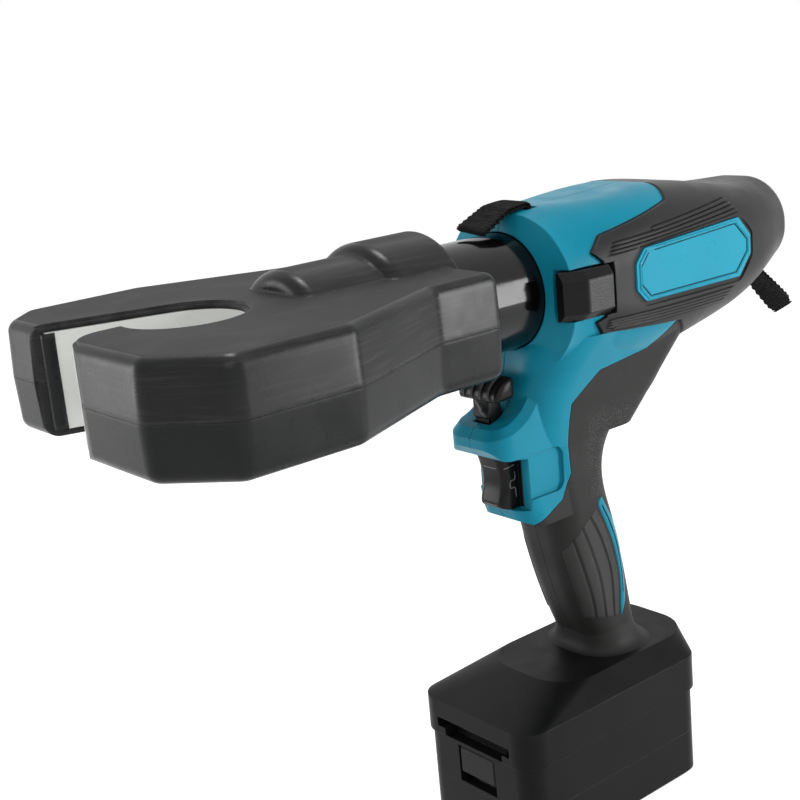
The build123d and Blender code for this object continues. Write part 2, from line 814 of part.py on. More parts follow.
def trigger_recess(side):
    """Shallow rounded recess in the side wall next to the trigger."""
    with BuildPart() as recess:
        with BuildSketch(PROFILE.offset(-side * RECESS_FLOOR)):
            with Locations(((RECESS_REAR + NOSE_FRONT) / 2, (RECESS_TOP + RECESS_BOTTOM) / 2)):
                RectangleRounded(NOSE_FRONT - RECESS_REAR, RECESS_TOP - RECESS_BOTTOM, RECESS_ROUND)
        extrude(amount=-side * RECESS_FLOOR)
    return recess.part


with BuildPart() as cavity:
    add(inner_body)
    add(rod(-COLLAR_DEPTH, NOSE_FRONT, BODY_HALF_WIDTH), mode=Mode.SUBTRACT)

with BuildPart() as grip_skin_cut:
    add(side_region(GRIP_POINTS, SEAM))
    add(core_body, mode=Mode.SUBTRACT)

SWIVEL_FRONT = -COLLAR_DEPTH
SWIVEL_REAR = FLANGE_FRONT + SLIDE_GAP
STEM_SLOT_REAR = LEVER_PIVOT_X - LEVER_KNUCKLE_R - LEVER_SWING
STEM_SLOT_FRONT = LEVER_PIVOT_X + LEVER_KNUCKLE_R + SLIDE_GAP
stem_slot = pocket(
    STEM_SLOT_REAR,
    STEM_SLOT_FRONT,
    LEVER_STEM_HALF + SLIDE_GAP,
    LEVER_PIVOT_Z - LEVER_KNUCKLE_R - SLIDE_GAP,
    LEVER_TOP,
)
trigger_gap = pocket(
    TRIGGER_REAR - TRIGGER_TRAVEL - SLIDE_GAP,
    NOSE_FRONT,
    TRIGGER_HALF_WIDTH + SLIDE_GAP,
    TRIGGER_BOTTOM - SLIDE_GAP,
    TRIGGER_TOP + SLIDE_GAP,
)
with BuildPart() as housing:
    add(outer_body)
    add(side_region(REAR_POINTS, SEAM), mode=Mode.SUBTRACT)
    add(grip_skin_cut.part, mode=Mode.SUBTRACT)
    add(cavity.part, mode=Mode.SUBTRACT)
    add(rod(-COLLAR_DEPTH, NOSE_FRONT, BARREL_R + SLIDE_GAP), mode=Mode.SUBTRACT)
    add(cradle(SWIVEL_REAR, SWIVEL_FRONT - SWIVEL_REAR, SWIVEL_R, inner_barrel))
    add(cradle(PUMP_RIB, RIB, PUMP_R, inner_body))
    add(rod(SWIVEL_REAR, SWIVEL_FRONT, SWIVEL_R), mode=Mode.SUBTRACT)
    add(side_region(REAR_POINTS, SEAM), mode=Mode.SUBTRACT)
    for side in (1, -1):
        add(trigger_recess(side), mode=Mode.SUBTRACT)
        add(button_pocket(side), mode=Mode.SUBTRACT)
    add(stem_slot, mode=Mode.SUBTRACT)
    add(trigger_gap, mode=Mode.SUBTRACT)
    strap_room = STRAP_WIDTH / 2 + SLOT_MARGIN
    add(pocket(*STRAP_SLOT, strap_room, STRAP_SLOT_FLOOR, BODY_HALF_WIDTH), mode=Mode.SUBTRACT)
    with BuildSketch(PROFILE):
        with Locations((LEVER_PIVOT_X, LEVER_PIVOT_Z)):
            Circle(LEVER_PIN_R)
    extrude(amount=LEVER_PIN_HALF, both=True, mode=Mode.SUBTRACT)
    with BuildSketch(station(SWITCH_FRONT)):
        with Locations((0, STEM_Z)):
            Circle(STEM_R + SLIDE_GAP)
    extrude(amount=TRIGGER_REAR - SWITCH_FRONT, mode=Mode.SUBTRACT)

with BuildPart() as housing_left:
    add(housing.part)
    split(bisect_by=Plane.XZ.offset(-SEAM / 2), keep=Keep.BOTTOM)
save(housing_left, "housing_left")

with BuildPart() as housing_right:
    add(housing.part)
    split(bisect_by=Plane.XZ.offset(SEAM / 2), keep=Keep.TOP)
save(housing_right, "housing_right")

# Grip

with BuildPart() as grip:
    add(outer_body)
    add(side_region(GRIP_POINTS, 0), mode=Mode.INTERSECT)
    add(core_body, mode=Mode.SUBTRACT)

with BuildPart() as grip_left:
    add(grip.part)
    split(bisect_by=Plane.XZ.offset(-SEAM / 2), keep=Keep.BOTTOM)
save(grip_left, "grip_left")

with BuildPart() as grip_right:
    add(grip.part)
    split(bisect_by=Plane.XZ.offset(SEAM / 2), keep=Keep.TOP)
save(grip_right, "grip_right")

# Rear cover and badge

rear_inner = barrel_room(REAR_WALL)


def badge_plane():
    """Plane of the badge's outer face; local x points to the tail."""
    lean = BADGE_LEAN / (BADGE_FRONT - BADGE_REAR)
    middle_x = COLLAR_X + (BADGE_FRONT + BADGE_REAR) / 2
    middle_y = BADGE_FRONT_Y - BADGE_LEAN / 2
    return Plane(origin=(middle_x, middle_y, AXIS_Z), x_dir=(-1, -lean, 0), z_dir=(-lean, 1, 0))


def badge_outline(grow=0.0, lift=0.0):
    """Long plate, taller at the rear, with cut corners; lift moves it off its outer face."""
    front = (BADGE_REAR - BADGE_FRONT) / 2
    with BuildSketch(badge_plane().offset(lift)) as outline:
        with BuildLine():
            Polyline(
                (front, BADGE_Z - BADGE_FRONT_HALF + BADGE_CUT),
                (front, BADGE_Z + BADGE_FRONT_HALF - BADGE_CUT),
                (front + BADGE_CUT, BADGE_Z + BADGE_FRONT_HALF),
                (-front - BADGE_TAIL_CUT, BADGE_Z + BADGE_REAR_HALF),
                (-front, BADGE_Z + BADGE_REAR_HALF - BADGE_TAIL_CUT),
                (-front, BADGE_Z - BADGE_REAR_HALF + BADGE_TAIL_CUT),
                (-front - BADGE_TAIL_CUT, BADGE_Z - BADGE_REAR_HALF),
                (front + BADGE_CUT, BADGE_Z - BADGE_FRONT_HALF),
                close=True,
            )
        make_face()
        fillet(outline.vertices(), BADGE_ROUND)
        if grow:
            offset(amount=grow, mode=Mode.REPLACE)
    return outline.sketch


with BuildPart() as rear_form:
    add(barrel_form(BAND_PROUD))
    add(skirt_form())
    add(handle_form())

with BuildPart() as rear_cover:
    add(rear_form.part)
    add(side_region(REAR_POINTS, 0), mode=Mode.INTERSECT)
    add(rear_inner, mode=Mode.SUBTRACT)
    add(inner_body, mode=Mode.SUBTRACT)
    add(cradle(STATOR_RIB, RIB, STATOR_R, rear_inner))
    add(cradle(BEARING_REAR, BEARING_WIDTH, BEARING_R, rear_inner))
    add(rod(STATOR_REAR, STATOR_FRONT, STATOR_R), mode=Mode.SUBTRACT)
    add(rod(BEARING_REAR, BEARING_REAR + BEARING_WIDTH, BEARING_R), mode=Mode.SUBTRACT)
    extrude(badge_outline(BADGE_BORDER, -BADGE_PROUD), amount=BODY_HALF_WIDTH, mode=Mode.SUBTRACT)
    extrude(badge_outline(SEAM), amount=-BADGE_DEPTH, mode=Mode.SUBTRACT)
    for side in (1, -1):
        add(button_pocket(side), mode=Mode.SUBTRACT)
    tail_strap_room = TAIL_STRAP_WIDTH / 2 + SLOT_MARGIN
    add(pocket(*TAIL_SLOT, tail_strap_room, -BODY_HALF_WIDTH, TAIL_SLOT_TOP), mode=Mode.SUBTRACT)
save(rear_cover, "rear_cover")

with BuildPart() as badge:
    extrude(badge_outline(), amount=-BADGE_DEPTH)
save(badge, "badge")

# Controls

for side, name in ((1, "side_button_left"), (-1, "side_button_right")):
    with BuildPart() as side_button:
        add(button_form())
        outer_edges = side_button.edges().filter_by(lambda e: e.center().Y > BUTTON_SHOULDER - NEAR)
        chamfer(outer_edges, BUTTON_CHAMFER)
        if side < 0:
            mirror(about=Plane.XZ, mode=Mode.REPLACE)
    save(side_button, name)

with BuildPart() as trigger:
    with BuildSketch(PROFILE):
        with BuildLine():
            face = ThreePointArc(
                (TRIGGER_FRONT + TRIGGER_BROW, TRIGGER_TOP),
                (TRIGGER_FRONT - TRIGGER_DIP, STEM_Z + TRIGGER_BROW),
                (TRIGGER_FRONT, TRIGGER_BOTTOM + TRIGGER_TOE),
            )
            Polyline(
                face @ 1,
                (TRIGGER_FRONT - TRIGGER_DIP, TRIGGER_BOTTOM),
                (TRIGGER_REAR, TRIGGER_BOTTOM),
                (TRIGGER_REAR, TRIGGER_TOP),
                face @ 0,
            )
        make_face()
    extrude(amount=TRIGGER_HALF_WIDTH, both=True)
    chamfer(trigger.edges().filter_by(GeomType.CIRCLE), TRIGGER_CHAMFER)
    for side in (1, -1):
        with BuildSketch(PROFILE.offset(-side * (TRIGGER_HALF_WIDTH - SPLIT_DEPTH))):
            with BuildLine():
                Polyline(
                    (TRIGGER_FRONT - SPLIT_FRONT, SPLIT_Z),
                    (TRIGGER_REAR + SPLIT_REAR, SPLIT_Z + SPLIT_RISE),
                    (TRIGGER_REAR + SPLIT_REAR, SPLIT_BOTTOM),
                )
            trace(line_width=SPLIT_WIDTH)
        extrude(amount=-side * SPLIT_DEPTH, mode=Mode.SUBTRACT)
    with BuildSketch(station(TRIGGER_REAR)):
        with Locations((0, STEM_Z)):
            Circle(STEM_R)
    extrude(amount=-STEM_LENGTH)
save(trigger, "trigger")

with BuildPart() as trigger_switch:
    add(pocket(SWITCH_REAR, SWITCH_FRONT, ROOM_HALF_WIDTH, SWITCH_BOTTOM, SWITCH_TOP))
save(trigger_switch, "trigger_switch")


def lever_bar(inset):
    """Side view of the lever's cross bar, set in by a given depth."""
    with BuildSketch(PROFILE) as outline:
        with BuildLine():
            Polyline(
                (LEVER_REAR, LEVER_TOP - LEVER_SLOPE),
                (LEVER_REAR + LEVER_SLOPE, LEVER_TOP),
                (LEVER_FRONT - 2 * LEVER_SLOPE, LEVER_TOP),
                (LEVER_FRONT, LEVER_TOP - 1.5 * LEVER_SLOPE),
                (LEVER_FRONT - LEVER_SLOPE / 2, LEVER_BOTTOM),
                (LEVER_REAR, LEVER_BOTTOM),
                close=True,
            )
        make_face()
        if inset:
            offset(amount=-inset, kind=Kind.INTERSECTION, mode=Mode.REPLACE)
    return outline.sketch


RIB_PITCH = 2 * LEVER_HALF_WIDTH / LEVER_RIBS
with BuildPart() as release_lever:
    extrude(lever_bar(RIB_DEPTH), amount=LEVER_HALF_WIDTH, both=True)
    for rib in range(LEVER_RIBS):
        rib_y = (rib - (LEVER_RIBS - 1) / 2) * RIB_PITCH
        rib_shape = extrude(lever_bar(0), amount=RIB_PITCH * RIB_SHARE / 2, both=True, mode=Mode.PRIVATE)
        add(rib_shape.moved(Location((0, rib_y, 0))))
    with BuildSketch(PROFILE):
        with BuildLine():
            Polyline(
                (LEVER_REAR + LEVER_STEM_SET, LEVER_BOTTOM + 2 * RIB_DEPTH),
                (LEVER_FRONT - LEVER_STEM_SET, LEVER_BOTTOM + 2 * RIB_DEPTH),
                (LEVER_PIVOT_X + LEVER_KNUCKLE_R, LEVER_PIVOT_Z),
                (LEVER_PIVOT_X - LEVER_KNUCKLE_R, LEVER_PIVOT_Z),
                close=True,
            )
        make_face()
        with Locations((LEVER_PIVOT_X, LEVER_PIVOT_Z)):
            Circle(LEVER_KNUCKLE_R)
            Circle(LEVER_PIN_R + RUNNING_GAP, mode=Mode.SUBTRACT)
    extrude(amount=LEVER_STEM_HALF, both=True)
save(release_lever, "release_lever")

with BuildPart() as lever_pin:
    with BuildSketch(PROFILE):
        with Locations((LEVER_PIVOT_X, LEVER_PIVOT_Z)):
            Circle(LEVER_PIN_R)
    extrude(amount=LEVER_PIN_HALF, both=True)
save(lever_pin, "lever_pin")

# Pump

with BuildPart() as swivel_ring:
    add(rod(SWIVEL_REAR, SWIVEL_FRONT, SWIVEL_R, BARREL_R + RUNNING_GAP))
save(swivel_ring, "swivel_ring")

PUMP_FRONT = FLANGE_REAR - SLIDE_GAP
with BuildPart() as pump_block:
    add(rod(PUMP_REAR, PUMP_FRONT, PUMP_R))
    add(rod(SPIGOT_REAR - SLIDE_GAP, PUMP_FRONT, SPIGOT_R + RUNNING_GAP), mode=Mode.SUBTRACT)
    add(rod(PUMP_REAR, CARRIER_FRONT + SLIDE_GAP, CARRIER_SHAFT_R + RUNNING_GAP), mode=Mode.SUBTRACT)
save(pump_block, "pump_block")

# Planetary gear


def gear_outline(x, teeth, centre, phase, outward=True):
    """Straight-flanked gear outline at x about a centre; phase turns the first tooth, in degrees."""
    pitch_r = GEAR_MODULE * teeth / 2
    sense = 1 if outward else -1
    tip_r = pitch_r + sense * TOOTH_TIP * GEAR_MODULE
    root_r = pitch_r - sense * TOOTH_ROOT * GEAR_MODULE
    corners = (
        (root_r, -TOOTH_ROOT_SHARE),
        (tip_r, -TOOTH_TIP_SHARE),
        (tip_r, TOOTH_TIP_SHARE),
        (root_r, TOOTH_ROOT_SHARE),
    )
    points = []
    for tooth in range(teeth):
        for radius, share in corners:
            turn = radians(phase + (tooth + share) * 360 / teeth)
            points.append((centre[0] + radius * cos(turn), centre[1] + radius * sin(turn)))
    with BuildSketch(station(x)) as outline:
        with BuildLine():
            Polyline(*points, close=True)
        make_face()
    return outline.sketch


GEAR_WIDTH = GEAR_FRONT - GEAR_REAR
SUN_PHASE = 180 / SUN_TEETH * (PLANET_TEETH % 2)
CENTRE_DISTANCE = GEAR_MODULE * (SUN_TEETH + PLANET_TEETH) / 2
PLANET_ANGLES = [360 / PLANET_COUNT * n for n in range(PLANET_COUNT)]
PLANET_SPOTS = [(CENTRE_DISTANCE * cos(radians(a)), CENTRE_DISTANCE * sin(radians(a))) for a in PLANET_ANGLES]

with BuildPart() as gear_case:
    add(rod(GEAR_CASE_REAR, PUMP_REAR, GEAR_CASE_R))
    case_room = PUMP_REAR - GEAR_CASE_REAR - 2 * GEAR_CASE_WALL
    inner_teeth = gear_outline(GEAR_CASE_REAR + GEAR_CASE_WALL, RING_TEETH, (0, 0), 0, outward=False)
    extrude(inner_teeth, amount=case_room, mode=Mode.SUBTRACT)
    add(rod(GEAR_CASE_REAR, GEAR_CASE_REAR + GEAR_CASE_WALL, SHAFT_R + RUNNING_GAP), mode=Mode.SUBTRACT)
    add(rod(PUMP_REAR - GEAR_CASE_WALL, PUMP_REAR, CARRIER_SHAFT_R + SLIDE_GAP), mode=Mode.SUBTRACT)
save(gear_case, "gear_case")

with BuildPart() as sun_gear:
    extrude(gear_outline(GEAR_REAR, SUN_TEETH, (0, 0), SUN_PHASE), amount=GEAR_WIDTH)
    add(rod(GEAR_REAR, GEAR_FRONT, SHAFT_R), mode=Mode.SUBTRACT)
save(sun_gear, "sun_gear")

for number, spot in enumerate(PLANET_SPOTS, start=1):
    with BuildPart() as planet_gear:
        half_tooth = 180 / PLANET_TEETH
        extrude(gear_outline(GEAR_REAR, PLANET_TEETH, spot, half_tooth), amount=GEAR_WIDTH)
        with BuildSketch(station(GEAR_REAR)):
            with Locations(spot):
                Circle(PLANET_PIN_R + RUNNING_GAP)
        extrude(amount=GEAR_WIDTH, mode=Mode.SUBTRACT)
    save(planet_gear, f"planet_gear_{number}")

CARRIER_REAR = GEAR_FRONT + SLIDE_GAP
with BuildPart() as planet_carrier:
    add(rod(CARRIER_REAR, CARRIER_REAR + CARRIER_THICK, CENTRE_DISTANCE + 2 * PLANET_PIN_R))
    with BuildSketch(station(GEAR_REAR)):
        with Locations(*PLANET_SPOTS):
            Circle(PLANET_PIN_R)
    extrude(amount=CARRIER_REAR - GEAR_REAR)
    add(rod(CARRIER_REAR, CARRIER_FRONT, CARRIER_SHAFT_R))
save(planet_carrier, "planet_carrier")

# Motor

with BuildPart() as motor_stator:
    add(rod(STATOR_REAR, STATOR_FRONT, STATOR_R, ROTOR_R + AIR_GAP))
save(motor_stator, "motor_stator")

with BuildPart() as motor_rotor:
    add(rod(STATOR_REAR + ROTOR_SET, STATOR_FRONT - ROTOR_SET, ROTOR_R))
    add(rod(BEARING_REAR, GEAR_FRONT, SHAFT_R))
save(motor_rotor, "motor_rotor")

with BuildPart() as rear_bearing:
    add(rod(BEARING_REAR, BEARING_REAR + BEARING_WIDTH, BEARING_R, SHAFT_R + RUNNING_GAP))
save(rear_bearing, "rear_bearing")

# Foot and battery


def base_plane(z):
    """Horizontal plane at a height above the battery's underside."""
    return Plane(origin=(0, 0, z), x_dir=(1, 0, 0), z_dir=(0, 0, 1))


def slab(x_from, x_to, half_width, z_from, z_to):
    """Block on the middle plane with heights above the battery's underside."""
    return pocket(x_from - COLLAR_X, x_to - COLLAR_X, half_width, z_from - AXIS_Z, z_to - AXIS_Z)


FOOT_TOP = AXIS_Z + HANDLE_END
FOOT_BOTTOM = BATTERY_TOP + FOOT_GAP
FOOT_FRONT = BATTERY_LENGTH / 2 + FOOT_OVERHANG
with BuildPart() as foot:
    with BuildSketch(base_plane(FOOT_BOTTOM)):
        RectangleRounded(2 * FOOT_FRONT, BATTERY_WIDTH + 2 * FOOT_OVERHANG, BATTERY_CORNER + FOOT_OVERHANG)
    extrude(amount=FOOT_EDGE - FOOT_BOTTOM)
    with BuildSketch(base_plane(FOOT_EDGE)):
        RectangleRounded(2 * FOOT_FRONT, BATTERY_WIDTH + 2 * FOOT_OVERHANG, BATTERY_CORNER + FOOT_OVERHANG)
    with BuildSketch(base_plane(FOOT_TOP)):
        with Locations((FOOT_TOP_X, 0)):
            RectangleRounded(FOOT_TOP_LENGTH, FOOT_TOP_WIDTH, FOOT_TOP_ROUND)
    loft(ruled=True)
    groove_rear = RAIL_REAR - SLIDE_GAP
    neck_half = RAIL_NECK_HALF + SLIDE_GAP
    add(slab(groove_rear, FOOT_FRONT, neck_half, FOOT_BOTTOM, RAIL_TOP), mode=Mode.SUBTRACT)
    head_bottom = RAIL_NECK_TOP - SLIDE_GAP
    head_top = RAIL_TOP + SLIDE_GAP
    add(slab(groove_rear, FOOT_FRONT, RAIL_HALF + SLIDE_GAP, head_bottom, head_top), mode=Mode.SUBTRACT)
    room = (FOOT_TOP_X - FOOT_ROOM_LENGTH / 2, FOOT_TOP_X + FOOT_ROOM_LENGTH / 2, FOOT_ROOM_WIDTH / 2)
    add(slab(*room, FOOT_ROOM_FLOOR, FOOT_ROOM_TOP), mode=Mode.SUBTRACT)
    wire_hole = slab(WIRE_HOLE_REAR, WIRE_HOLE_FRONT, WIRE_HOLE_HALF, FOOT_ROOM_TOP, FOOT_TOP)
    add(wire_hole, mode=Mode.SUBTRACT)
save(foot, "foot")

with BuildPart() as control_board:
    add(slab(*room, FOOT_ROOM_FLOOR, FOOT_ROOM_FLOOR + BOARD_THICK))
save(control_board, "control_board")


def battery_outline(z, inset):
    """Plan of the battery at a height, set in by a wall."""
    with BuildSketch(base_plane(z)) as outline:
        RectangleRounded(BATTERY_LENGTH - 2 * inset, BATTERY_WIDTH - 2 * inset, BATTERY_CORNER - inset)
    return outline.sketch


with BuildPart() as battery_case:
    extrude(battery_outline(0, 0), amount=BATTERY_SPLIT)
    chamfer(battery_case.faces().sort_by(Axis.Z)[0].edges(), BATTERY_EDGE)
    extrude(battery_outline(BATTERY_WALL, BATTERY_WALL), amount=BATTERY_SPLIT, mode=Mode.SUBTRACT)
save(battery_case, "battery_case")

LATCH_REAR = BATTERY_LENGTH / 2 - LATCH_DEPTH
with BuildPart() as battery_lid:
    extrude(battery_outline(BATTERY_SPLIT, 0), amount=BATTERY_TOP - BATTERY_SPLIT)
    lid_room = BATTERY_TOP - BATTERY_WALL - BATTERY_SPLIT
    extrude(battery_outline(BATTERY_SPLIT, BATTERY_WALL), amount=lid_room, mode=Mode.SUBTRACT)
    add(slab(RAIL_REAR, RAIL_FRONT, RAIL_NECK_HALF, BATTERY_TOP, RAIL_TOP))
    add(slab(RAIL_REAR, RAIL_FRONT, RAIL_HALF, RAIL_NECK_TOP, RAIL_TOP))
    block_half = LATCH_HALF + SLIDE_GAP + BATTERY_WALL
    block_rear = LATCH_REAR - SLIDE_GAP - BATTERY_WALL
    add(slab(block_rear, BATTERY_LENGTH / 2 - BATTERY_WALL, block_half, BATTERY_SPLIT, BATTERY_TOP))
    add(
        slab(
            LATCH_REAR - SLIDE_GAP,
            BATTERY_LENGTH / 2,
            LATCH_HALF + SLIDE_GAP,
            LATCH_BOTTOM - LATCH_TRAVEL - SLIDE_GAP,
            LATCH_TOP + SLIDE_GAP,
        ),
        mode=Mode.SUBTRACT,
    )
save(battery_lid, "battery_lid")

with BuildPart() as battery_latch:
    add(slab(LATCH_REAR, BATTERY_LENGTH / 2, LATCH_HALF, LATCH_BOTTOM, LATCH_TOP))
    front_face = battery_latch.faces().sort_by(Axis.X)[-1]
    chamfer(front_face.edges(), BUTTON_CHAMFER)
save(battery_latch, "battery_latch")

with BuildPart() as cell_pack:
    extrude(battery_outline(BATTERY_WALL, BATTERY_WALL), amount=CELL_TOP - BATTERY_WALL)
    latch_room = slab(block_rear - CELL_CLEAR, BATTERY_LENGTH, BATTERY_WIDTH, BATTERY_WALL, BATTERY_TOP)
    add(latch_room, mode=Mode.SUBTRACT)
save(cell_pack, "cell_pack")

# Straps


def strap(path, thickness, width):
    """Flat strap that follows a side-view path with rounded bends."""
    with BuildPart() as band:
        with BuildSketch(PROFILE):
            with BuildLine():
                FilletPolyline(*path, radius=STRAP_BEND)
            trace(line_width=thickness)
        extrude(amount=width / 2, both=True)
    return band.part


with BuildPart() as strap_front:
    add(strap(STRAP_PATH, STRAP_THICK, STRAP_WIDTH))
save(strap_front, "strap_front")

with BuildPart() as strap_rear:
    add(strap(TAIL_STRAP_PATH, TAIL_STRAP_THICK, TAIL_STRAP_WIDTH))
save(strap_rear, "strap_rear")
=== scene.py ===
import math

import bmesh
import bpy
from mathutils import Matrix, Vector
from mathutils.bvhtree import BVHTree


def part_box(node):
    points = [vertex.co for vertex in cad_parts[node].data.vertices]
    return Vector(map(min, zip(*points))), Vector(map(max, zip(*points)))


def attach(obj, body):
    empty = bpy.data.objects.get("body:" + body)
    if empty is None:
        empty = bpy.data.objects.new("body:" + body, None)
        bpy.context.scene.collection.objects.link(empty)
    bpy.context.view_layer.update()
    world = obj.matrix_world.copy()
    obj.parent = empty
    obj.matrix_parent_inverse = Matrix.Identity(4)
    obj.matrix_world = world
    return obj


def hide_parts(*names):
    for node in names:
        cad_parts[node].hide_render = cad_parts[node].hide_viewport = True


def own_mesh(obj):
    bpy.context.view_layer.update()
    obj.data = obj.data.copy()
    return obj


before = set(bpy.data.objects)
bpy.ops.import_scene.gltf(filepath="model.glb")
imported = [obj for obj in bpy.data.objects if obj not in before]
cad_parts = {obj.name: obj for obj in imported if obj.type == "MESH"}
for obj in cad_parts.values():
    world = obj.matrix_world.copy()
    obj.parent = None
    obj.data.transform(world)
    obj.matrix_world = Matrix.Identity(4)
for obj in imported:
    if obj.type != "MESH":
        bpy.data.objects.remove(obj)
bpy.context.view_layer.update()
scene = bpy.context.scene

# The tool axis and the front of the housing collar, from which the pieces are placed
AXIS_Z = 0.255
COLLAR_X = 0.019
MM = 0.001

# Camera
CAMERA_PLACE = (0.4426, 0.4560, 0.3750)
CAMERA_RIGHT = (-0.76687, 0.63532, -0.09095)
CAMERA_UP = (-0.23258, -0.14301, 0.96201)
CAMERA_BACK = (0.59817, 0.75889, 0.25743)
CAMERA_LENS = 64.23

camera = bpy.data.objects.new("camera", bpy.data.cameras.new("camera"))
camera.data.lens = CAMERA_LENS
camera.data.sensor_width = 36.0
camera.data.clip_start = 0.01
camera.matrix_world = Matrix.Translation(CAMERA_PLACE) @ Matrix(
    (CAMERA_RIGHT, CAMERA_UP, CAMERA_BACK)
).transposed().to_4x4()
scene.collection.objects.link(camera)
scene.camera = camera
scene.view_settings.view_transform = "Standard"


# Stage


def lamp(name, place, aim, size, power):
    """Rectangular soft box at a place, turned towards a point."""
    box = bpy.data.lights.new(name, "AREA")
    box.shape = "RECTANGLE"
    box.size, box.size_y = size
    box.energy = power
    holder = bpy.data.objects.new(name, box)
    holder.location = place
    holder.rotation_euler = (Vector(place) - Vector(aim)).to_track_quat("Z", "Y").to_euler()
    scene.collection.objects.link(holder)


AIM = (0.02, 0.0, 0.22)
lamp("key_box", (-0.05, -0.25, 1.3), AIM, (0.3, 0.3), 6.0)
lamp("side_box", (-0.72, 1.0, 0.34), AIM, (0.4, 0.75), 11.0)
lamp("front_box", (1.0, -1.0, 0.32), AIM, (0.35, 0.75), 6.0)
lamp("fill_box", (0.75, 0.9, 0.9), AIM, (0.9, 0.9), 4.0)

world = bpy.data.worlds.new("studio")
scene.world = world
world.use_nodes = True
tree = world.node_tree
sky = tree.nodes["Background"]
sky.inputs["Color"].default_value = (0.95, 0.96, 0.97, 1.0)
sky.inputs["Strength"].default_value = 0.32
white = tree.nodes.new("ShaderNodeBackground")
white.inputs["Color"].default_value = (1.0, 1.0, 1.0, 1.0)
white.inputs["Strength"].default_value = 1.0


def seen_directly(tree):
    """One for rays from the camera, also mirrored or passed on, and nought for the light's other ways."""
    ray = tree.nodes.new("ShaderNodeLightPath")
    total = ray.outputs["Is Camera Ray"]
    for kind in ("Is Glossy Ray", "Is Transmission Ray"):
        both = tree.nodes.new("ShaderNodeMath")
        both.operation = "ADD"
        both.use_clamp = True
        tree.links.new(total, both.inputs[0])
        tree.links.new(ray.outputs[kind], both.inputs[1])
        total = both.outputs["Value"]
    return total


choose = tree.nodes.new("ShaderNodeMixShader")
tree.links.new(seen_directly(tree), choose.inputs["Fac"])
tree.links.new(sky.outputs["Background"], choose.inputs[1])
tree.links.new(white.outputs["Background"], choose.inputs[2])
tree.links.new(choose.outputs["Shader"], tree.nodes["World Output"].inputs["Surface"])

FLOOR_HALF = 6.0
floor_mesh = bpy.data.meshes.new("floor")
floor_mesh.from_pydata(
    [(x * FLOOR_HALF, y * FLOOR_HALF, 0) for x, y in ((-1, -1), (1, -1), (1, 1), (-1, 1))],
    [],
    [(0, 1, 2, 3)],
)
floor = bpy.data.objects.new("floor", floor_mesh)
scene.collection.objects.link(floor)


# Materials

# Noise scales per metre
MOTTLE = 35.0
WEAR_AND_HIGHLIGHT_PATCHES = 160.0
SCUFF_STREAKS = 900.0
GLOSS_PATCHES = 70.0
LEATHER_CELLS = 900.0
METAL_MOTTLE = 60.0
TOOL_MARKS = 1200.0
CLOTH_FUZZ = 400.0

# Webbing threads along and ribs across, in millimetres; the wave texture multiplies places by a fixed factor
THREAD_PITCH = 1.6
RIB_PITCH = 1.9
WAVE_FACTOR = 20


def node(tree, kind, **settings):
    """New shader node; a setting names an input socket or a property of the node."""
    made = tree.nodes.new(kind)
    for name, value in settings.items():
        if name in made.inputs:
            made.inputs[name].default_value = value
        else:
            setattr(made, name, value)
    return made


def blank(name):
    """Empty material with its node tree and shader."""
    material = bpy.data.materials.new(name)
    material.use_nodes = True
    return material, material.node_tree, material.node_tree.nodes["Principled BSDF"]


def noise(tree, scale, detail=3.0, stretch=(1, 1, 1)):
    """Noise over the piece's own coordinates; scale is per metre."""
    coords = node(tree, "ShaderNodeTexCoord")
    place = node(tree, "ShaderNodeMapping")
    place.inputs["Scale"].default_value = stretch
    cloud = node(tree, "ShaderNodeTexNoise", Scale=scale, Detail=detail)
    tree.links.new(coords.outputs["Object"], place.inputs["Vector"])
    tree.links.new(place.outputs["Vector"], cloud.inputs["Vector"])
    return cloud.outputs["Fac"]


def remap(tree, value, low, high, start=0.3, end=0.7):
    """A value spread over the range from low to high."""
    spread = node(tree, "ShaderNodeMapRange")
    spread.inputs["From Min"].default_value = start
    spread.inputs["From Max"].default_value = end
    spread.inputs["To Min"].default_value = low
    spread.inputs["To Max"].default_value = high
    tree.links.new(value, spread.inputs["Value"])
    return spread.outputs["Result"]


def mix(tree, share, first, second):
    """Colour between two colours; either may be a socket or a plain colour."""
    blend = node(tree, "ShaderNodeMix", data_type="RGBA")
    for socket, value in (("A", first), ("B", second)):
        target = [s for s in blend.inputs if s.name == socket and s.type == "RGBA"][0]
        if isinstance(value, tuple):
            target.default_value = (*value, 1.0)
        else:
            tree.links.new(value, target)
    tree.links.new(share, blend.inputs["Factor"])
    return [s for s in blend.outputs if s.type == "RGBA"][0]


def edge_mask(tree, radius):
    """Rounded normal for hard edges, and how far it turns from the flat one."""
    soft = node(tree, "ShaderNodeBevel", samples=4, Radius=radius)
    flat = node(tree, "ShaderNodeNewGeometry")
    turn = node(tree, "ShaderNodeVectorMath", operation="DOT_PRODUCT")
    tree.links.new(soft.outputs["Normal"], turn.inputs[0])
    tree.links.new(flat.outputs["Normal"], turn.inputs[1])
    return soft.outputs["Normal"], remap(tree, turn.outputs["Value"], 1.0, 0.0, 0.86, 0.99)


def times(tree, first, second):
    """Product of two values."""
    product = node(tree, "ShaderNodeMath", operation="MULTIPLY")
    tree.links.new(first, product.inputs[0])
    tree.links.new(second, product.inputs[1])
    return product.outputs["Value"]


def cells(tree, scale):
    """Pebbled leather: how far a place is from the creases."""
    coords = node(tree, "ShaderNodeTexCoord")
    pebble = node(tree, "ShaderNodeTexVoronoi", feature="DISTANCE_TO_EDGE", Scale=scale)
    tree.links.new(coords.outputs["Object"], pebble.inputs["Vector"])
    return pebble.outputs["Distance"]


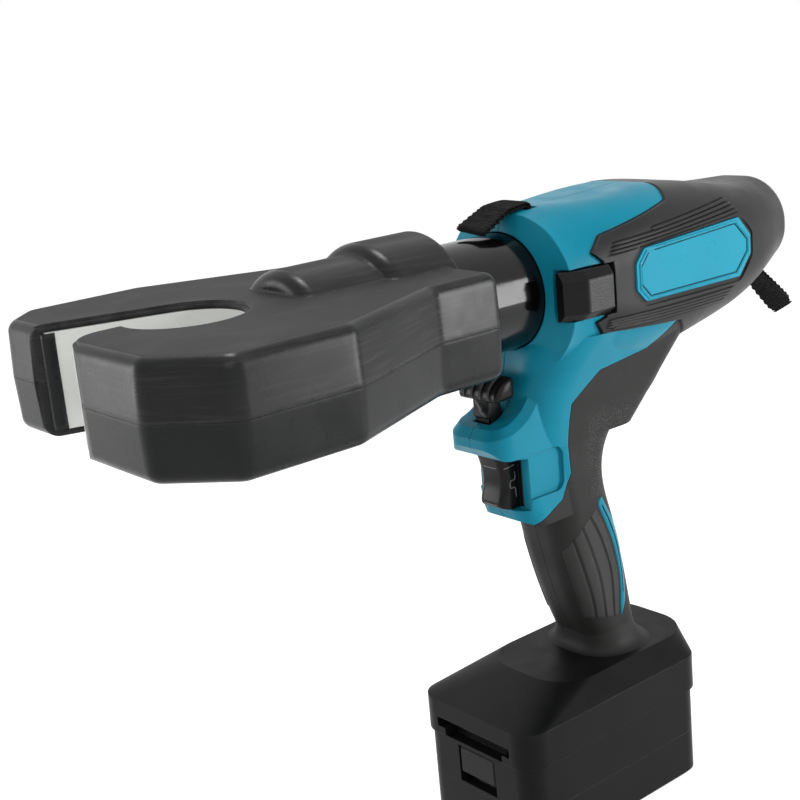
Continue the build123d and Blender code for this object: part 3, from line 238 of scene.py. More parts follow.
def back_of_grip(tree):
    """One on the back of the handle and the web above it, fading out towards the palm."""
    coords = node(tree, "ShaderNodeTexCoord")
    parts = node(tree, "ShaderNodeSeparateXYZ")
    tree.links.new(coords.outputs["Object"], parts.inputs["Vector"])
    rear = remap(tree, parts.outputs["X"], 1.0, 0.0, COLLAR_X - 29 * MM, COLLAR_X - 23 * MM)
    above = remap(tree, parts.outputs["Z"], 0.0, 1.0, AXIS_Z - 110 * MM, AXIS_Z - 98 * MM)
    below = remap(tree, parts.outputs["Z"], 1.0, 0.0, AXIS_Z - 64 * MM, AXIS_Z - 56 * MM)
    return times(tree, rear, times(tree, above, below))


# Lighter grey painted on the tops of the grip's pebbles: painted highlight
PEBBLE_HIGHLIGHT_GREY = (0.075, 0.075, 0.073)


def moulded(name, base, shade, rough, grain=900.0, depth=0.03 * MM, edge_wear_and_highlight=None, edge=0.6 * MM, shine=0.15,
            scuffs=0.0, leather=False, top_rough=None):
    """Moulded plastic or rubber: mottled colour, grained skin, soft edges painted lighter in patches, partly
    wear and partly painted highlight.
    """
    material, tree, shader = blank(name)
    colour = mix(tree, remap(tree, noise(tree, MOTTLE), 0.0, 1.0), base, shade)
    soft, edges = edge_mask(tree, edge)
    # Lighter colour on the rounded edges in patches: partly wear, partly painted highlight along the edges
    if edge_wear_and_highlight:
        worn_and_lit_edges = times(tree, edges, remap(tree, noise(tree, WEAR_AND_HIGHLIGHT_PATCHES), 0.0, 0.55))
        colour = mix(tree, worn_and_lit_edges, colour, edge_wear_and_highlight)
    if scuffs:
        lines = noise(tree, SCUFF_STREAKS, 4.0, (0.05, 0.05, 1))
        streaks = remap(tree, lines, 0.0, 0.5, 0.5, 0.75)
        colour = mix(tree, streaks, colour, (scuffs, scuffs, scuffs))
    if leather:
        creases = cells(tree, LEATHER_CELLS)
        area = back_of_grip(tree)
        # On the back of the grip the pebble tops are painted lighter than the creases: painted highlight
        pebble_highlight = times(tree, area, remap(tree, creases, 0.0, 0.75, 0.12, 0.4))
        colour = mix(tree, pebble_highlight, colour, PEBBLE_HIGHLIGHT_GREY)
    tree.links.new(colour, shader.inputs["Base Color"])
    gloss = remap(tree, noise(tree, GLOSS_PATCHES, 6.0), rough - 0.07, rough + 0.07)
    if top_rough:
        level = node(tree, "ShaderNodeNewGeometry")
        parts = node(tree, "ShaderNodeSeparateXYZ")
        tree.links.new(level.outputs["Normal"], parts.inputs["Vector"])
        matt = node(tree, "ShaderNodeMath", operation="MAXIMUM")
        tree.links.new(gloss, matt.inputs[0])
        tree.links.new(remap(tree, parts.outputs["Z"], 0.0, top_rough, 0.93, 0.995), matt.inputs[1])
        gloss = matt.outputs["Value"]
    tree.links.new(gloss, shader.inputs["Roughness"])
    if leather:
        pebbles = node(tree, "ShaderNodeBump", Distance=0.35 * MM, Strength=0.9)
        tree.links.new(times(tree, area, creases), pebbles.inputs["Height"])
        tree.links.new(soft, pebbles.inputs["Normal"])
        soft = pebbles.outputs["Normal"]
    bump = node(tree, "ShaderNodeBump", Distance=depth, Strength=0.6)
    tree.links.new(noise(tree, grain, 2.0), bump.inputs["Height"])
    tree.links.new(soft, bump.inputs["Normal"])
    tree.links.new(bump.outputs["Normal"], shader.inputs["Normal"])
    shader.inputs["Specular IOR Level"].default_value = shine
    return material


def metal(name, base, shade, rough, brushed=(1, 1, 1), metallic=1.0):
    """Machined or plated metal with fine tool marks."""
    material, tree, shader = blank(name)
    marks = noise(tree, TOOL_MARKS, 2.0, brushed)
    colour = mix(tree, remap(tree, noise(tree, METAL_MOTTLE), 0.0, 1.0), base, shade)
    tree.links.new(colour, shader.inputs["Base Color"])
    tree.links.new(remap(tree, marks, rough - 0.06, rough + 0.08), shader.inputs["Roughness"])
    soft, _ = edge_mask(tree, 0.3 * MM)
    bump = node(tree, "ShaderNodeBump", Distance=0.01 * MM, Strength=0.5)
    tree.links.new(marks, bump.inputs["Height"])
    tree.links.new(soft, bump.inputs["Normal"])
    tree.links.new(bump.outputs["Normal"], shader.inputs["Normal"])
    shader.inputs["Metallic"].default_value = metallic
    return material


def woven(name, dark, light):
    """Flat woven webbing: ribs across and threads along, from the strap's own plan; where they cross, the
    colour is painted lighter as a highlight on the raised weave.
    """
    material, tree, shader = blank(name)
    plan = node(tree, "ShaderNodeUVMap", uv_map="weave")
    threads = []
    for direction, pitch in (("X", THREAD_PITCH * MM), ("Y", RIB_PITCH * MM)):
        scale = 2 * math.pi / (WAVE_FACTOR * pitch)
        bands = node(tree, "ShaderNodeTexWave", Scale=scale, bands_direction=direction)
        tree.links.new(plan.outputs["UV"], bands.inputs["Vector"])
        threads.append(bands.outputs["Fac"])
    cross = times(tree, *threads)
    # Raised crossings of the weave painted towards the lighter colour: painted highlight
    colour = mix(tree, remap(tree, cross, 0.0, 1.0, 0.0, 0.8), dark, light)
    tree.links.new(colour, shader.inputs["Base Color"])
    tree.links.new(remap(tree, noise(tree, CLOTH_FUZZ), 0.65, 0.9), shader.inputs["Roughness"])
    bump = node(tree, "ShaderNodeBump", Distance=0.5 * MM, Strength=1.0)
    tree.links.new(cross, bump.inputs["Height"])
    tree.links.new(bump.outputs["Normal"], shader.inputs["Normal"])
    shader.inputs["Specular IOR Level"].default_value = 0.12
    return material


TEAL = (0.005, 0.232, 0.338)
TEAL_SHADE = (0.004, 0.208, 0.305)
materials = {
    "head_cover": moulded("cover_rubber", (0.0075, 0.008, 0.0085), (0.012, 0.0125, 0.013), 0.28, 500.0,
                          0.02 * MM, (0.09, 0.09, 0.09), 2.0 * MM, shine=0.18),
    "scuffed": moulded("cover_rubber_scuffed", (0.0085, 0.009, 0.009), (0.014, 0.014, 0.0145), 0.28, 500.0,
                       0.02 * MM, (0.12, 0.12, 0.12), 2.0 * MM, shine=0.2, scuffs=0.045, top_rough=0.62),
    "yoke": metal("yoke_paint", (0.78, 0.79, 0.76), (0.72, 0.73, 0.70), 0.38, metallic=0.0),
    "die": metal("die_steel", (0.62, 0.62, 0.60), (0.52, 0.52, 0.50), 0.34),
    "barrel": moulded("barrel_black", (0.002, 0.002, 0.002), (0.003, 0.003, 0.003), 0.12, 300.0,
                      0.003 * MM, shine=0.3),
    "steel": metal("turned_steel", (0.55, 0.55, 0.55), (0.45, 0.45, 0.46), 0.3, (0.2, 1, 1)),
    "spring": metal("oiled_steel", (0.16, 0.16, 0.165), (0.12, 0.12, 0.125), 0.4),
    "housing": moulded("housing_teal", TEAL, TEAL_SHADE, 0.38, 1100.0, 0.03 * MM, (0.06, 0.38, 0.5), 0.9 * MM,
                       shine=0.13),
    "rear_cover": moulded("cover_plastic", (0.013, 0.013, 0.0135), (0.018, 0.018, 0.0185), 0.4, 1000.0,
                          0.04 * MM, (0.09, 0.09, 0.09), 0.7 * MM, shine=0.18),
    "grip": moulded("grip_rubber", (0.015, 0.0145, 0.014), (0.021, 0.0205, 0.02), 0.55, 700.0, 0.05 * MM,
                    (0.05, 0.05, 0.05), 0.6 * MM, shine=0.18, leather=True),
    "control": moulded("control_plastic", (0.004, 0.004, 0.004), (0.007, 0.007, 0.007), 0.3, 900.0, 0.02 * MM,
                       (0.10, 0.10, 0.10), 0.5 * MM),
    "webbing": woven("webbing_black", (0.003, 0.003, 0.003), (0.02, 0.02, 0.02)),
    # Knurled pad painted a lighter grey than the button's black plastic: painted sheen of its facets
    "knurl": moulded("knurl_sheen_grey", (0.15, 0.153, 0.15), (0.19, 0.193, 0.19), 0.4, 900.0, 0.01 * MM,
                     (0.16, 0.16, 0.16), 0.12 * MM, shine=0.2),
    "trigger_line_grey": moulded("edge_grey", (0.16, 0.16, 0.16), (0.22, 0.22, 0.22), 0.4, 900.0, 0.01 * MM),
    # Near-black strips laid in grooves and at steps: painted shade
    "groove_shade": moulded("groove_shade_black", (0.004, 0.004, 0.004), (0.006, 0.006, 0.006), 0.7, 900.0, 0.02 * MM),
    "grip_soft": moulded("grip_wave", (0.017, 0.0165, 0.016), (0.023, 0.0225, 0.022), 0.55, 700.0, 0.03 * MM,
                         (0.06, 0.06, 0.06), 0.4 * MM, shine=0.3),
    "battery": moulded("battery_plastic", (0.005, 0.005, 0.0052), (0.008, 0.008, 0.0083), 0.42, 900.0,
                       0.04 * MM, (0.07, 0.07, 0.07), shine=0.1),
    "badge": moulded("badge_plate", (0.012, 0.31, 0.44), (0.009, 0.28, 0.41), 0.3, 1400.0, 0.01 * MM),
    "alloy": metal("cast_alloy", (0.5, 0.5, 0.5), (0.42, 0.42, 0.42), 0.48),
    "bronze": metal("bearing_bronze", (0.52, 0.34, 0.15), (0.44, 0.28, 0.12), 0.36),
    "board": moulded("board_green", (0.01, 0.09, 0.04), (0.008, 0.07, 0.03), 0.4),
    "cells": moulded("cell_wrap", (0.05, 0.16, 0.2), (0.04, 0.13, 0.17), 0.45),
}

FINISH = {
    "head_cover_upper": "scuffed",
    "head_cover_lower": "head_cover",
    "head_yoke": "yoke",
    "anvil_die": "die",
    "ram_die": "die",
    "cylinder_barrel": "barrel",
    "ram_piston": "steel",
    "return_spring": "spring",
    "housing_left": "housing",
    "housing_right": "housing",
    "rear_cover": "rear_cover",
    "badge": "badge",
    "grip_left": "grip",
    "grip_right": "grip",
    "foot": "battery",
    "side_button_left": "control",
    "side_button_right": "control",
    "trigger": "control",
    "release_lever": "control",
    "battery_case": "battery",
    "battery_lid": "battery",
    "battery_latch": "control",
    "strap_front": "webbing",
    "strap_rear": "webbing",
    "pump_block": "alloy",
    "gear_case": "alloy",
    "swivel_ring": "bronze",
    "control_board": "board",
    "cell_pack": "cells",
    "trigger_switch": "control",
}
for name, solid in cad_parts.items():
    solid.data.materials.clear()
    solid.data.materials.append(materials[FINISH.get(name, "steel")])

# The floor is pale paper; seen by the camera it glows up to white, and the shadow on it stays
floor_material, tree, shader = blank("floor_paper")
shader.inputs["Roughness"].default_value = 0.9
tree.links.new(
    mix(tree, remap(tree, noise(tree, 3.0), 0.0, 1.0), (0.93, 0.93, 0.93), (0.95, 0.95, 0.95)),
    shader.inputs["Base Color"],
)
shade = node(tree, "ShaderNodeBsdfDiffuse", Color=(0.5, 0.5, 0.5, 1.0))
glow = node(tree, "ShaderNodeEmission", Strength=0.85)
lifted = node(tree, "ShaderNodeAddShader")
choose = node(tree, "ShaderNodeMixShader")
tree.links.new(shade.outputs["BSDF"], lifted.inputs[0])
tree.links.new(glow.outputs["Emission"], lifted.inputs[1])
tree.links.new(seen_directly(tree), choose.inputs["Fac"])
tree.links.new(shader.outputs["BSDF"], choose.inputs[1])
tree.links.new(lifted.outputs["Shader"], choose.inputs[2])
tree.links.new(choose.outputs["Shader"], tree.nodes["Material Output"].inputs["Surface"])
floor.data.materials.append(floor_material)


# Pieces laid on the CAD surfaces; places are in millimetres from the collar front and the tool axis


def spot(x, y, z):
    """Point of the row from millimetres before the collar, to the left and above the axis."""
    return Vector((x * MM + COLLAR_X, y * MM, z * MM + AXIS_Z))


def skin(*names):
    """Search tree over the faces of some CAD nodes."""
    points, faces = [], []
    for name in names:
        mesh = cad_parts[name].data
        start = len(points)
        points += [corner.co.copy() for corner in mesh.vertices]
        faces += [[start + corner for corner in face.vertices] for face in mesh.polygons]
    return BVHTree.FromPolygons(points, faces)


# Where the rays that look for a surface start, and where the nearest surface is sought if one misses
LOOK_AHEAD = 300.0
LOOK_ASIDE = 150.0
NEAR_ASIDE = 40.0


def lay(tree, x, z, side):
    """Surface point and outward normal seen from the left (1), the right (-1) or the front (0).

    From the front, x counts to the left.
    """
    if side == 0:
        place, normal, _, _ = tree.ray_cast(spot(LOOK_AHEAD, x, z), Vector((-1, 0, 0)))
        return place, normal if normal.x > 0 else -normal
    place, normal, _, _ = tree.ray_cast(spot(x, LOOK_ASIDE * side, z), Vector((0, -side, 0)))
    if place is None:
        place, normal, _, _ = tree.find_nearest(spot(x, NEAR_ASIDE * side, z))
    return place, normal if normal.y * side > 0 else -normal


def smooth(points, count):
    """Points in even steps on a curve through the given ones."""
    ends = [Vector(point) for point in (points[0], *points, points[-1])]
    line = []
    for step in range(count):
        whole = step * (len(points) - 1) / (count - 1)
        leg = min(int(whole), len(points) - 2)
        t = whole - leg
        a, b, c, d = ends[leg:leg + 4]
        slope = (c - a) * t
        bend = (2 * a - 5 * b + 4 * c - d) * t**2
        swing = (3 * b - a - 3 * c + d) * t**3
        line.append(0.5 * (2 * b + slope + bend + swing))
    return line


def piece(name, shapes, finish, body):
    """One object from a list of (points, faces), riding on a body."""
    points, faces = [], []
    for some_points, some_faces in shapes:
        start = len(points)
        points += some_points
        faces += [[start + corner for corner in face] for face in some_faces]
    mesh = bpy.data.meshes.new(name)
    mesh.from_pydata(points, [], faces)
    mesh.materials.append(materials[finish])
    mesh.shade_smooth()
    made = bpy.data.objects.new(name, mesh)
    scene.collection.objects.link(made)
    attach(made, body)
    return made


def grid_faces(rows, columns, flip=False, closed=False):
    """Four-sided faces over rows of points; closed joins the last column to the first."""
    faces = []
    for row in range(rows - 1):
        for column in range(columns if closed else columns - 1):
            beside = (column + 1) % columns
            here = row * columns
            above = here + columns
            face = [here + column, here + beside, above + beside, above + column]
            faces.append(face[::-1] if flip else face)
    return faces


# Share of a patch's width that its sloped rim takes, and how narrow a bead's ends are and how fast they widen
RIM = 0.06
BEAD_TIP = 0.2
BEAD_TAPER = 10


def patch(tree, first, second, side, height, columns=9, sink=0.3):
    """Raised skin between two side-view lines with as many points; height(across, along) is in mm."""
    rows = len(first)
    inner = columns - 3
    across = [0.0, *(RIM + (1 - 2 * RIM) * step / inner for step in range(inner + 1)), 1.0]
    points = []
    for row in range(rows):
        for share in across:
            x, z = Vector(first[row]).lerp(Vector(second[row]), share)
            place, normal = lay(tree, x, z, side)
            rim = share in (0.0, 1.0) or row in (0, rows - 1)
            rise = -sink if rim else height(share, row / (rows - 1))
            points.append(place + normal * rise * MM)
    middle = rows // 2 * len(across) + len(across) // 2
    normal = (points[middle + 1] - points[middle]).cross(points[middle + len(across)] - points[middle])
    facing = normal.x if side == 0 else normal.y * side
    return points, grid_faces(rows, len(across), flip=facing < 0)


def bead(tree, path, width, side, height, rows=40, columns=5):
    """Raised strip of even width along a side-view line, narrowed at both ends."""
    line = smooth(path, rows)
    left, right = [], []
    for step, point in enumerate(line):
        ahead = line[min(step + 1, rows - 1)] - line[max(step - 1, 0)]
        narrow = min(1.0, BEAD_TIP + BEAD_TAPER * min(step, rows - 1 - step) / rows)
        aside = Vector((-ahead.y, ahead.x)).normalized() * width / 2 * narrow
        left.append(point + aside)
        right.append(point - aside)
    return patch(tree, left, right, side, height, columns)


def loop_wall(loops, flip=False):
    """Closed wall over rings with as many points each, with both ends covered."""
    count = len(loops[0])
    first = list(range(count))
    last = list(range((len(loops) - 1) * count, len(loops) * count))
    faces = grid_faces(len(loops), count, flip=flip, closed=True)
    faces.append(first if flip else first[::-1])
    faces.append(last[::-1] if flip else last)
    return [point for loop in loops for point in loop], faces


def close_shell(made, sharp_degrees=None):
    """Turns the faces of a closed mesh outwards and keeps its sharp edges."""
    shell = bmesh.new()
    shell.from_mesh(made.data)
    bmesh.ops.recalc_face_normals(shell, faces=shell.faces)
    shell.to_mesh(made.data)
    shell.free()
    if sharp_degrees:
        made.data.set_sharp_from_angle(angle=math.radians(sharp_degrees))


SIDES = (("left", 1), ("right", -1))

# Flutes above and below the badge: raised lands, with near-black strips laid in the grooves between them as
# painted shade
FLUTES = 5
GROOVE = 0.75
GROOVE_SHADE_WIDTH = GROOVE + 0.25
LAND_RISE = 0.5
GROOVE_SHADE_RISE = 0.05
FLUTE_FAMILIES = (
    # front end, its step from flute to flute, rear end, its step, front end of the outermost flute
    ((-23.0, 13.7), (-1.55, 1.65), (-121.0, 18.2), (1.43, 1.85), -52.0),
    ((-21.2, -13.8), (0.1, -1.25), (-113.9, -15.8), (1.9, -1.45), -24.0),
)
cover_skin = skin("rear_cover")
for side_name, side in SIDES:
    lands, groove_shades = [], []
    for front, front_step, rear, rear_step, last_front in FLUTE_FAMILIES:
        lines = []
        for flute in range(FLUTES):
            start = Vector(front) + flute * Vector(front_step)
            end = Vector(rear) + flute * Vector(rear_step)
            if flute == FLUTES - 1:
                start = start.lerp(end, (last_front - start.x) / (end.x - start.x))
            lines.append((start, end))
            groove_shades.append(bead(cover_skin, (start, end), GROOVE_SHADE_WIDTH, side, lambda u, v: GROOVE_SHADE_RISE))
        for (start, end), (next_start, next_end) in zip(lines, lines[1:]):
            share = (next_start.x - start.x) / (end.x - start.x)
            begin = start.lerp(end, max(share, 0.0))
            width = ((begin - next_start).length + (end - next_end).length) / 2 - GROOVE
            middle = ((begin + next_start) / 2, (end + next_end) / 2)
            lands.append(bead(cover_skin, middle, width, side, lambda u, v: LAND_RISE, columns=6))
    piece(f"cover_lands_{side_name}", lands, "rear_cover", "main")
    piece(f"cover_groove_shades_{side_name}", groove_shades, "groove_shade", "main")

# Bevelled cap of each side button with a knurled pad
CAP_STATIONS = ((1.3, 37.6), (-6.0, 42.0), (-7.4, 42.9), (-8.8, 43.3), (-23.6, 43.3), (-24.4, 42.8),
                (-24.6, 41.8))
CAP_HALF = 10.6
CAP_BASE = 33.6
TOP_BEVEL = 4.0
FOOT_BEVEL = 2.8
BEVEL_DROP = 2.6
PAD_FRONT, PAD_REAR = -9.2, -23.4
PAD_TOP, PAD_FOOT = 6.1, -7.3
KNURL_COLUMNS, KNURL_ROWS = 14, 13
KNURL_RISE = 0.5
KNURL_SINK = 0.05
KNURL_TIP = 1 / 9
CAP_SHARP = 25
for side_name, side in SIDES:
    rings = []
    for along, out in CAP_STATIONS:
        section = (
            (CAP_BASE, CAP_HALF),
            (out - BEVEL_DROP, CAP_HALF),
            (out, CAP_HALF - TOP_BEVEL),
            (out, FOOT_BEVEL - CAP_HALF),
            (out - BEVEL_DROP, -CAP_HALF),
            (CAP_BASE, -CAP_HALF),
        )
        rings.append([spot(along, side * across, level) for across, level in section])
    cap_shape = loop_wall(rings)
    cap = piece(f"button_cap_{side_name}", [cap_shape], "control", f"button_{side_name}")
    close_shell(cap, CAP_SHARP)
    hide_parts(f"side_button_{side_name}")
    button_skin = BVHTree.FromPolygons(*cap_shape)
    wide = (PAD_REAR - PAD_FRONT) / KNURL_COLUMNS
    tall = (PAD_FOOT - PAD_TOP) / KNURL_ROWS
    studs = []
    for column in range(KNURL_COLUMNS):
        for row in range(KNURL_ROWS):
            x = PAD_FRONT + (column + 0.5) * wide
            z = PAD_TOP + (row + 0.5) * tall
            foot = []
            top = []
            for right, up in ((-1, -1), (1, -1), (1, 1), (-1, 1)):
                place, normal = lay(button_skin, x + right * wide / 2, z + up * tall / 2, side)
                foot.append(place - normal * KNURL_SINK * MM)
                tip_x = x + right * wide * KNURL_TIP
                tip_z = z + up * tall * KNURL_TIP
                place, normal = lay(button_skin, tip_x, tip_z, side)
                top.append(place + normal * KNURL_RISE * MM)
            faces = [(a, (a + 1) % 4, 4 + (a + 1) % 4, 4 + a) for a in range(4)] + [(4, 5, 6, 7)]
            if side > 0:
                faces = [face[::-1] for face in faces]
            studs.append((foot + top, faces))
    # The knurl studs take the lighter grey: painted sheen on the pad
    knurl = piece(f"knurl_{side_name}", studs, "knurl", f"button_{side_name}")
    knurl.data.shade_flat()

# Grip: coloured crescent with a near-black line along it as painted shade of its seam, and four waves in
# front of it
CRESCENT_FRONT = ((-34.3, -102.3), (-31.9, -105.5), (-35.6, -114.5), (-40.0, -125.0), (-42.6, -134.5),
                  (-43.9, -143.0), (-44.0, -151.0), (-43.3, -158.5), (-43.1, -165.0))
CRESCENT_BACK = ((-34.5, -102.3), (-38.7, -109.3), (-44.2, -118.5), (-47.3, -129.0), (-47.8, -137.5),
                 (-47.6, -145.0), (-47.4, -152.0), (-46.4, -159.0), (-43.3, -165.0))
WAVE_LINES = (
    ((-13.0, -125.0), (-15.3, -133.8), (-20.2, -149.8), (-24.6, -162.3)),
    ((-16.2, -118.7), (-20.6, -132.5), (-26.0, -150.3), (-29.0, -162.8)),
    ((-20.6, -114.0), (-25.0, -125.0), (-30.3, -142.0), (-33.5, -163.6)),
    ((-26.2, -110.3), (-32.0, -121.6), (-38.0, -141.0), (-38.6, -164.8)),
    ((-30.6, -107.0), (-36.5, -119.0), (-42.9, -143.0), (-42.2, -165.4)),
)
WAVE_GAP = 0.5
WAVE_STEPS = 44
CRESCENT_STEPS = 60
LINE_SPAN = slice(6, 48)
LINE_FRONT, LINE_BACK = 0.32, 0.45
LINE_RISE = 0.68
LINE_SINK = -0.4
STRIPE_EDGE, STRIPE_CROWN = 0.25, 0.35
WAVE_EDGE, WAVE_CROWN = 0.12, 0.3
crescent_front = smooth(CRESCENT_FRONT, CRESCENT_STEPS)
crescent_back = smooth(CRESCENT_BACK, CRESCENT_STEPS)
crescent_pairs = list(zip(crescent_front, crescent_back))[LINE_SPAN]
for side_name, side in SIDES:
    grip_skin = skin(f"grip_{side_name}")
    stripe = patch(
        grip_skin, crescent_front, crescent_back, side,
        lambda u, v: STRIPE_EDGE + STRIPE_CROWN * math.sin(math.pi * u), columns=11,
    )
    piece(f"grip_crescent_{side_name}", [stripe], "housing", "main")
    inner = [front.lerp(back, LINE_FRONT) for front, back in crescent_pairs]
    outer = [front.lerp(back, LINE_BACK) for front, back in crescent_pairs]
    seam_shade = patch(grip_skin, inner, outer, side, lambda u, v: LINE_RISE, columns=5, sink=LINE_SINK)
    piece(f"crescent_shade_line_{side_name}", [seam_shade], "groove_shade", "main")
    waves = []
    for front, back in zip(WAVE_LINES, WAVE_LINES[1:]):
        front_line = smooth(front, WAVE_STEPS)
        back_line = smooth(back, WAVE_STEPS)
        for step in range(WAVE_STEPS):
            gap = (front_line[step] - back_line[step]).normalized() * WAVE_GAP / 2
            front_line[step] = front_line[step] - gap
            back_line[step] = back_line[step] + gap
        waves.append(patch(
            grip_skin, front_line, back_line, side,
            lambda u, v: WAVE_EDGE + WAVE_CROWN * (1 - u) ** 1.5,
        ))
    piece(f"grip_waves_{side_name}", waves, "grip_soft", "main")

# Flare of the grip where it meets the foot
FLARE_STEPS = 72
FLARE_LEVELS = ((-169.0, -0.2), (-172.0, 0.35), (-175.5, 0.9), (-178.5, 2.0), (-180.6, 3.4), (-181.8, 5.2),
                (-181.95, 6.4))
FLARE_X, FLARE_MIDDLE = -43.5, -175.0
FLARE_LOOK = 0.1
HANDLE_LEAN = 0.27
both_grips = skin("grip_left", "grip_right")
heart = spot(FLARE_X, 0.0, FLARE_MIDDLE)
rings = []
for level, out in FLARE_LEVELS:
    ring = []
    for step in range(FLARE_STEPS):
        angle = 2 * math.pi * (step + 0.5) / FLARE_STEPS
        away = Vector((math.cos(angle), math.sin(angle), 0))
        place, _, _, _ = both_grips.ray_cast(heart + away * FLARE_LOOK, -away)
        lean = (level - FLARE_MIDDLE) * HANDLE_LEAN * MM
        ring.append(Vector((place.x + lean, place.y, AXIS_Z + level * MM)) + away * out * MM)
    rings.append(ring)
flare_points = [point for ring in rings for point in ring]
flare_faces = grid_faces(len(rings), FLARE_STEPS, flip=True, closed=True)
piece("grip_flare", [(flare_points, flare_faces)], "grip", "main")

# Woven carrying straps, each doubled back on itself at its free end
LAYER = 1.15
STRAP_STEPS = 70
STRAP_COLUMNS = 21
FOLD_STEPS = 8
RAGGED = 0.28
WEAVE_RISE = 0.17
EDGE_THIN, EDGE_POWER = 0.55, 10
ROUND_LEAST, ROUND_POWER = 0.2, 2.6
TWIST_POWER = 1.5


def webbing(name, node_name, path, width, thick, round_end, twist):
    """Strap of two layers folded at the end of a side-view path, in place of its CAD solid.

    It turns by the twist towards its end.
    """
    line = smooth(path, STRAP_STEPS)
    far = [0.0]
    for a, b in zip(line, line[1:]):
        far.append(far[-1] + (b - a).length)
    length = far[-1]
    apart = (thick - LAYER) / 2
    walk = []
    for step, point in enumerate(line):
        ahead = (line[min(step + 1, STRAP_STEPS - 1)] - line[max(step - 1, 0)]).normalized()
        walk.append((point, ahead, Vector((-ahead.y, ahead.x)), far[step]))
    rows = []
    for point, _, up, reach in walk:
        rows.append((point - up * apart, -up, reach))
    tip, ahead, up, reach = walk[-1]
    for turn in range(1, FOLD_STEPS):
        angle = math.pi * turn / FOLD_STEPS
        out = -math.cos(angle) * up + math.sin(angle) * ahead
        rows.append((tip - ahead * apart + out * apart, out, reach + apart * angle))
    rows[STRAP_STEPS - 1] = (tip - ahead * apart - up * apart, -up, reach)
    for point, _, up, reach in reversed(walk[:-1]):
        rows.append((point + up * apart, up, 2 * length - reach))

    def spine(reach):
        """Middle of the strap at a distance along it, and the way up from its flat side."""
        step = min(range(len(far)), key=lambda index: abs(far[index] - reach))
        return walk[step][0], walk[step][2]

    points, spread = [], []
    for index, (centre, out, reach) in enumerate(rows):
        from_end = abs(reach - length)
        half = width / 2
        if round_end and from_end < half:
            half *= math.sqrt(max(1 - (1 - from_end / half) ** ROUND_POWER, ROUND_LEAST))
        half += RAGGED * math.cos(math.pi * index)
        middle, up = spine(min(reach, 2 * length - reach))
        angle = twist * (1 - from_end / length) ** TWIST_POWER
        for face in (1, -1):
            for column in range(STRAP_COLUMNS):
                share = (column / (STRAP_COLUMNS - 1) * 2 - 1) * face
                edge = 1 - EDGE_THIN * abs(share) ** EDGE_POWER
                weave = WEAVE_RISE * math.cos(math.pi * (column + index))
                place = centre + out * face * (LAYER / 2 * edge + weave)
                offset = place - middle
                lift = offset.dot(up)
                rise = lift * math.cos(angle) + share * half * math.sin(angle)
                beside = share * half * math.cos(angle) - lift * math.sin(angle)
                place = middle + (offset - up * lift) + up * rise
                points.append(spot(place.x, beside, place.y))
                spread.append((share * half * MM, reach * MM))
    faces = grid_faces(len(rows), 2 * STRAP_COLUMNS, closed=True)
    strap = piece(name, [(points, faces)], "webbing", "main")
    plan = strap.data.uv_layers.new(name="weave")
    for corner in strap.data.loops:
        plan.data[corner.index].uv = spread[corner.vertex_index]
    shell = bmesh.new()
    shell.from_mesh(strap.data)
    bmesh.ops.holes_fill(shell, edges=[edge for edge in shell.edges if edge.is_boundary])
    bmesh.ops.recalc_face_normals(shell, faces=shell.faces)
    shell.to_mesh(strap.data)
    shell.free()
    strap.data.shade_smooth()
    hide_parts(node_name)


FRONT_PATH = ((-11.5, 30.0), (-11.5, 33.6), (-10.9, 36.2), (-8.6, 37.1), (0.0, 36.3), (3.0, 35.5),
              (17.3, 29.0))
FRONT_WIDTH, FRONT_THICK = 16.0, 2.6
FRONT_TWIST = math.radians(-8)
REAR_PATH = ((-169.0, -12.5), (-169.0, -15.4), (-170.2, -18.4), (-178.0, -25.7), (-201.0, -46.6))
REAR_WIDTH, REAR_THICK = 12.0, 3.0
REAR_TWIST = math.radians(-48)
webbing("webbing_front", "strap_front", FRONT_PATH, FRONT_WIDTH, FRONT_THICK, False, FRONT_TWIST)
webbing("webbing_rear", "strap_rear", REAR_PATH, REAR_WIDTH, REAR_THICK, True, REAR_TWIST)

# Release lever: scalloped paddle on a short stem, in place of its plainer CAD solid
PADDLE_PROFILE = ((20.4, -45.4), (21.4, -44.6), (21.6, -42.6), (20.3, -39.6), (17.6, -36.9), (14.4, -35.4),
                  (11.2, -35.2), (9.6, -36.4), (9.4, -40.0), (9.6, -44.0), (11.0, -45.0))
PADDLE_HALF = 13.2
PADDLE_RIBS = 5
PADDLE_STEPS = 10
PROFILE_STEPS = 45
SCALLOP, SCALLOP_POWER = 0.55, 0.45
SCALLOP_FADE = 1.5
SHOWN_SPAN = 4.0
END_ROUND = 2.2
END_DROP = 0.5
LEVER_STEM_HALF = 5.0
STEM_BEVEL = 0.8
BEVEL_SHARE = 0.84
EDGE_SHARP = 40
LEVER_STEM = (
    # level, rear, front
    (-44.2, 12.0, 19.8),
    (-49.6, 12.0, 19.8),
    (-50.2, 11.6, 20.2),
    (-53.0, 11.6, 20.2),
    (-54.0, 11.9, 18.9),
    (-60.0, 11.6, 18.4),
)
middle = sum((Vector(point) for point in PADDLE_PROFILE), Vector((0, 0))) / len(PADDLE_PROFILE)
outline = smooth((*PADDLE_PROFILE, PADDLE_PROFILE[0]), PROFILE_STEPS)[:-1]
rings = []
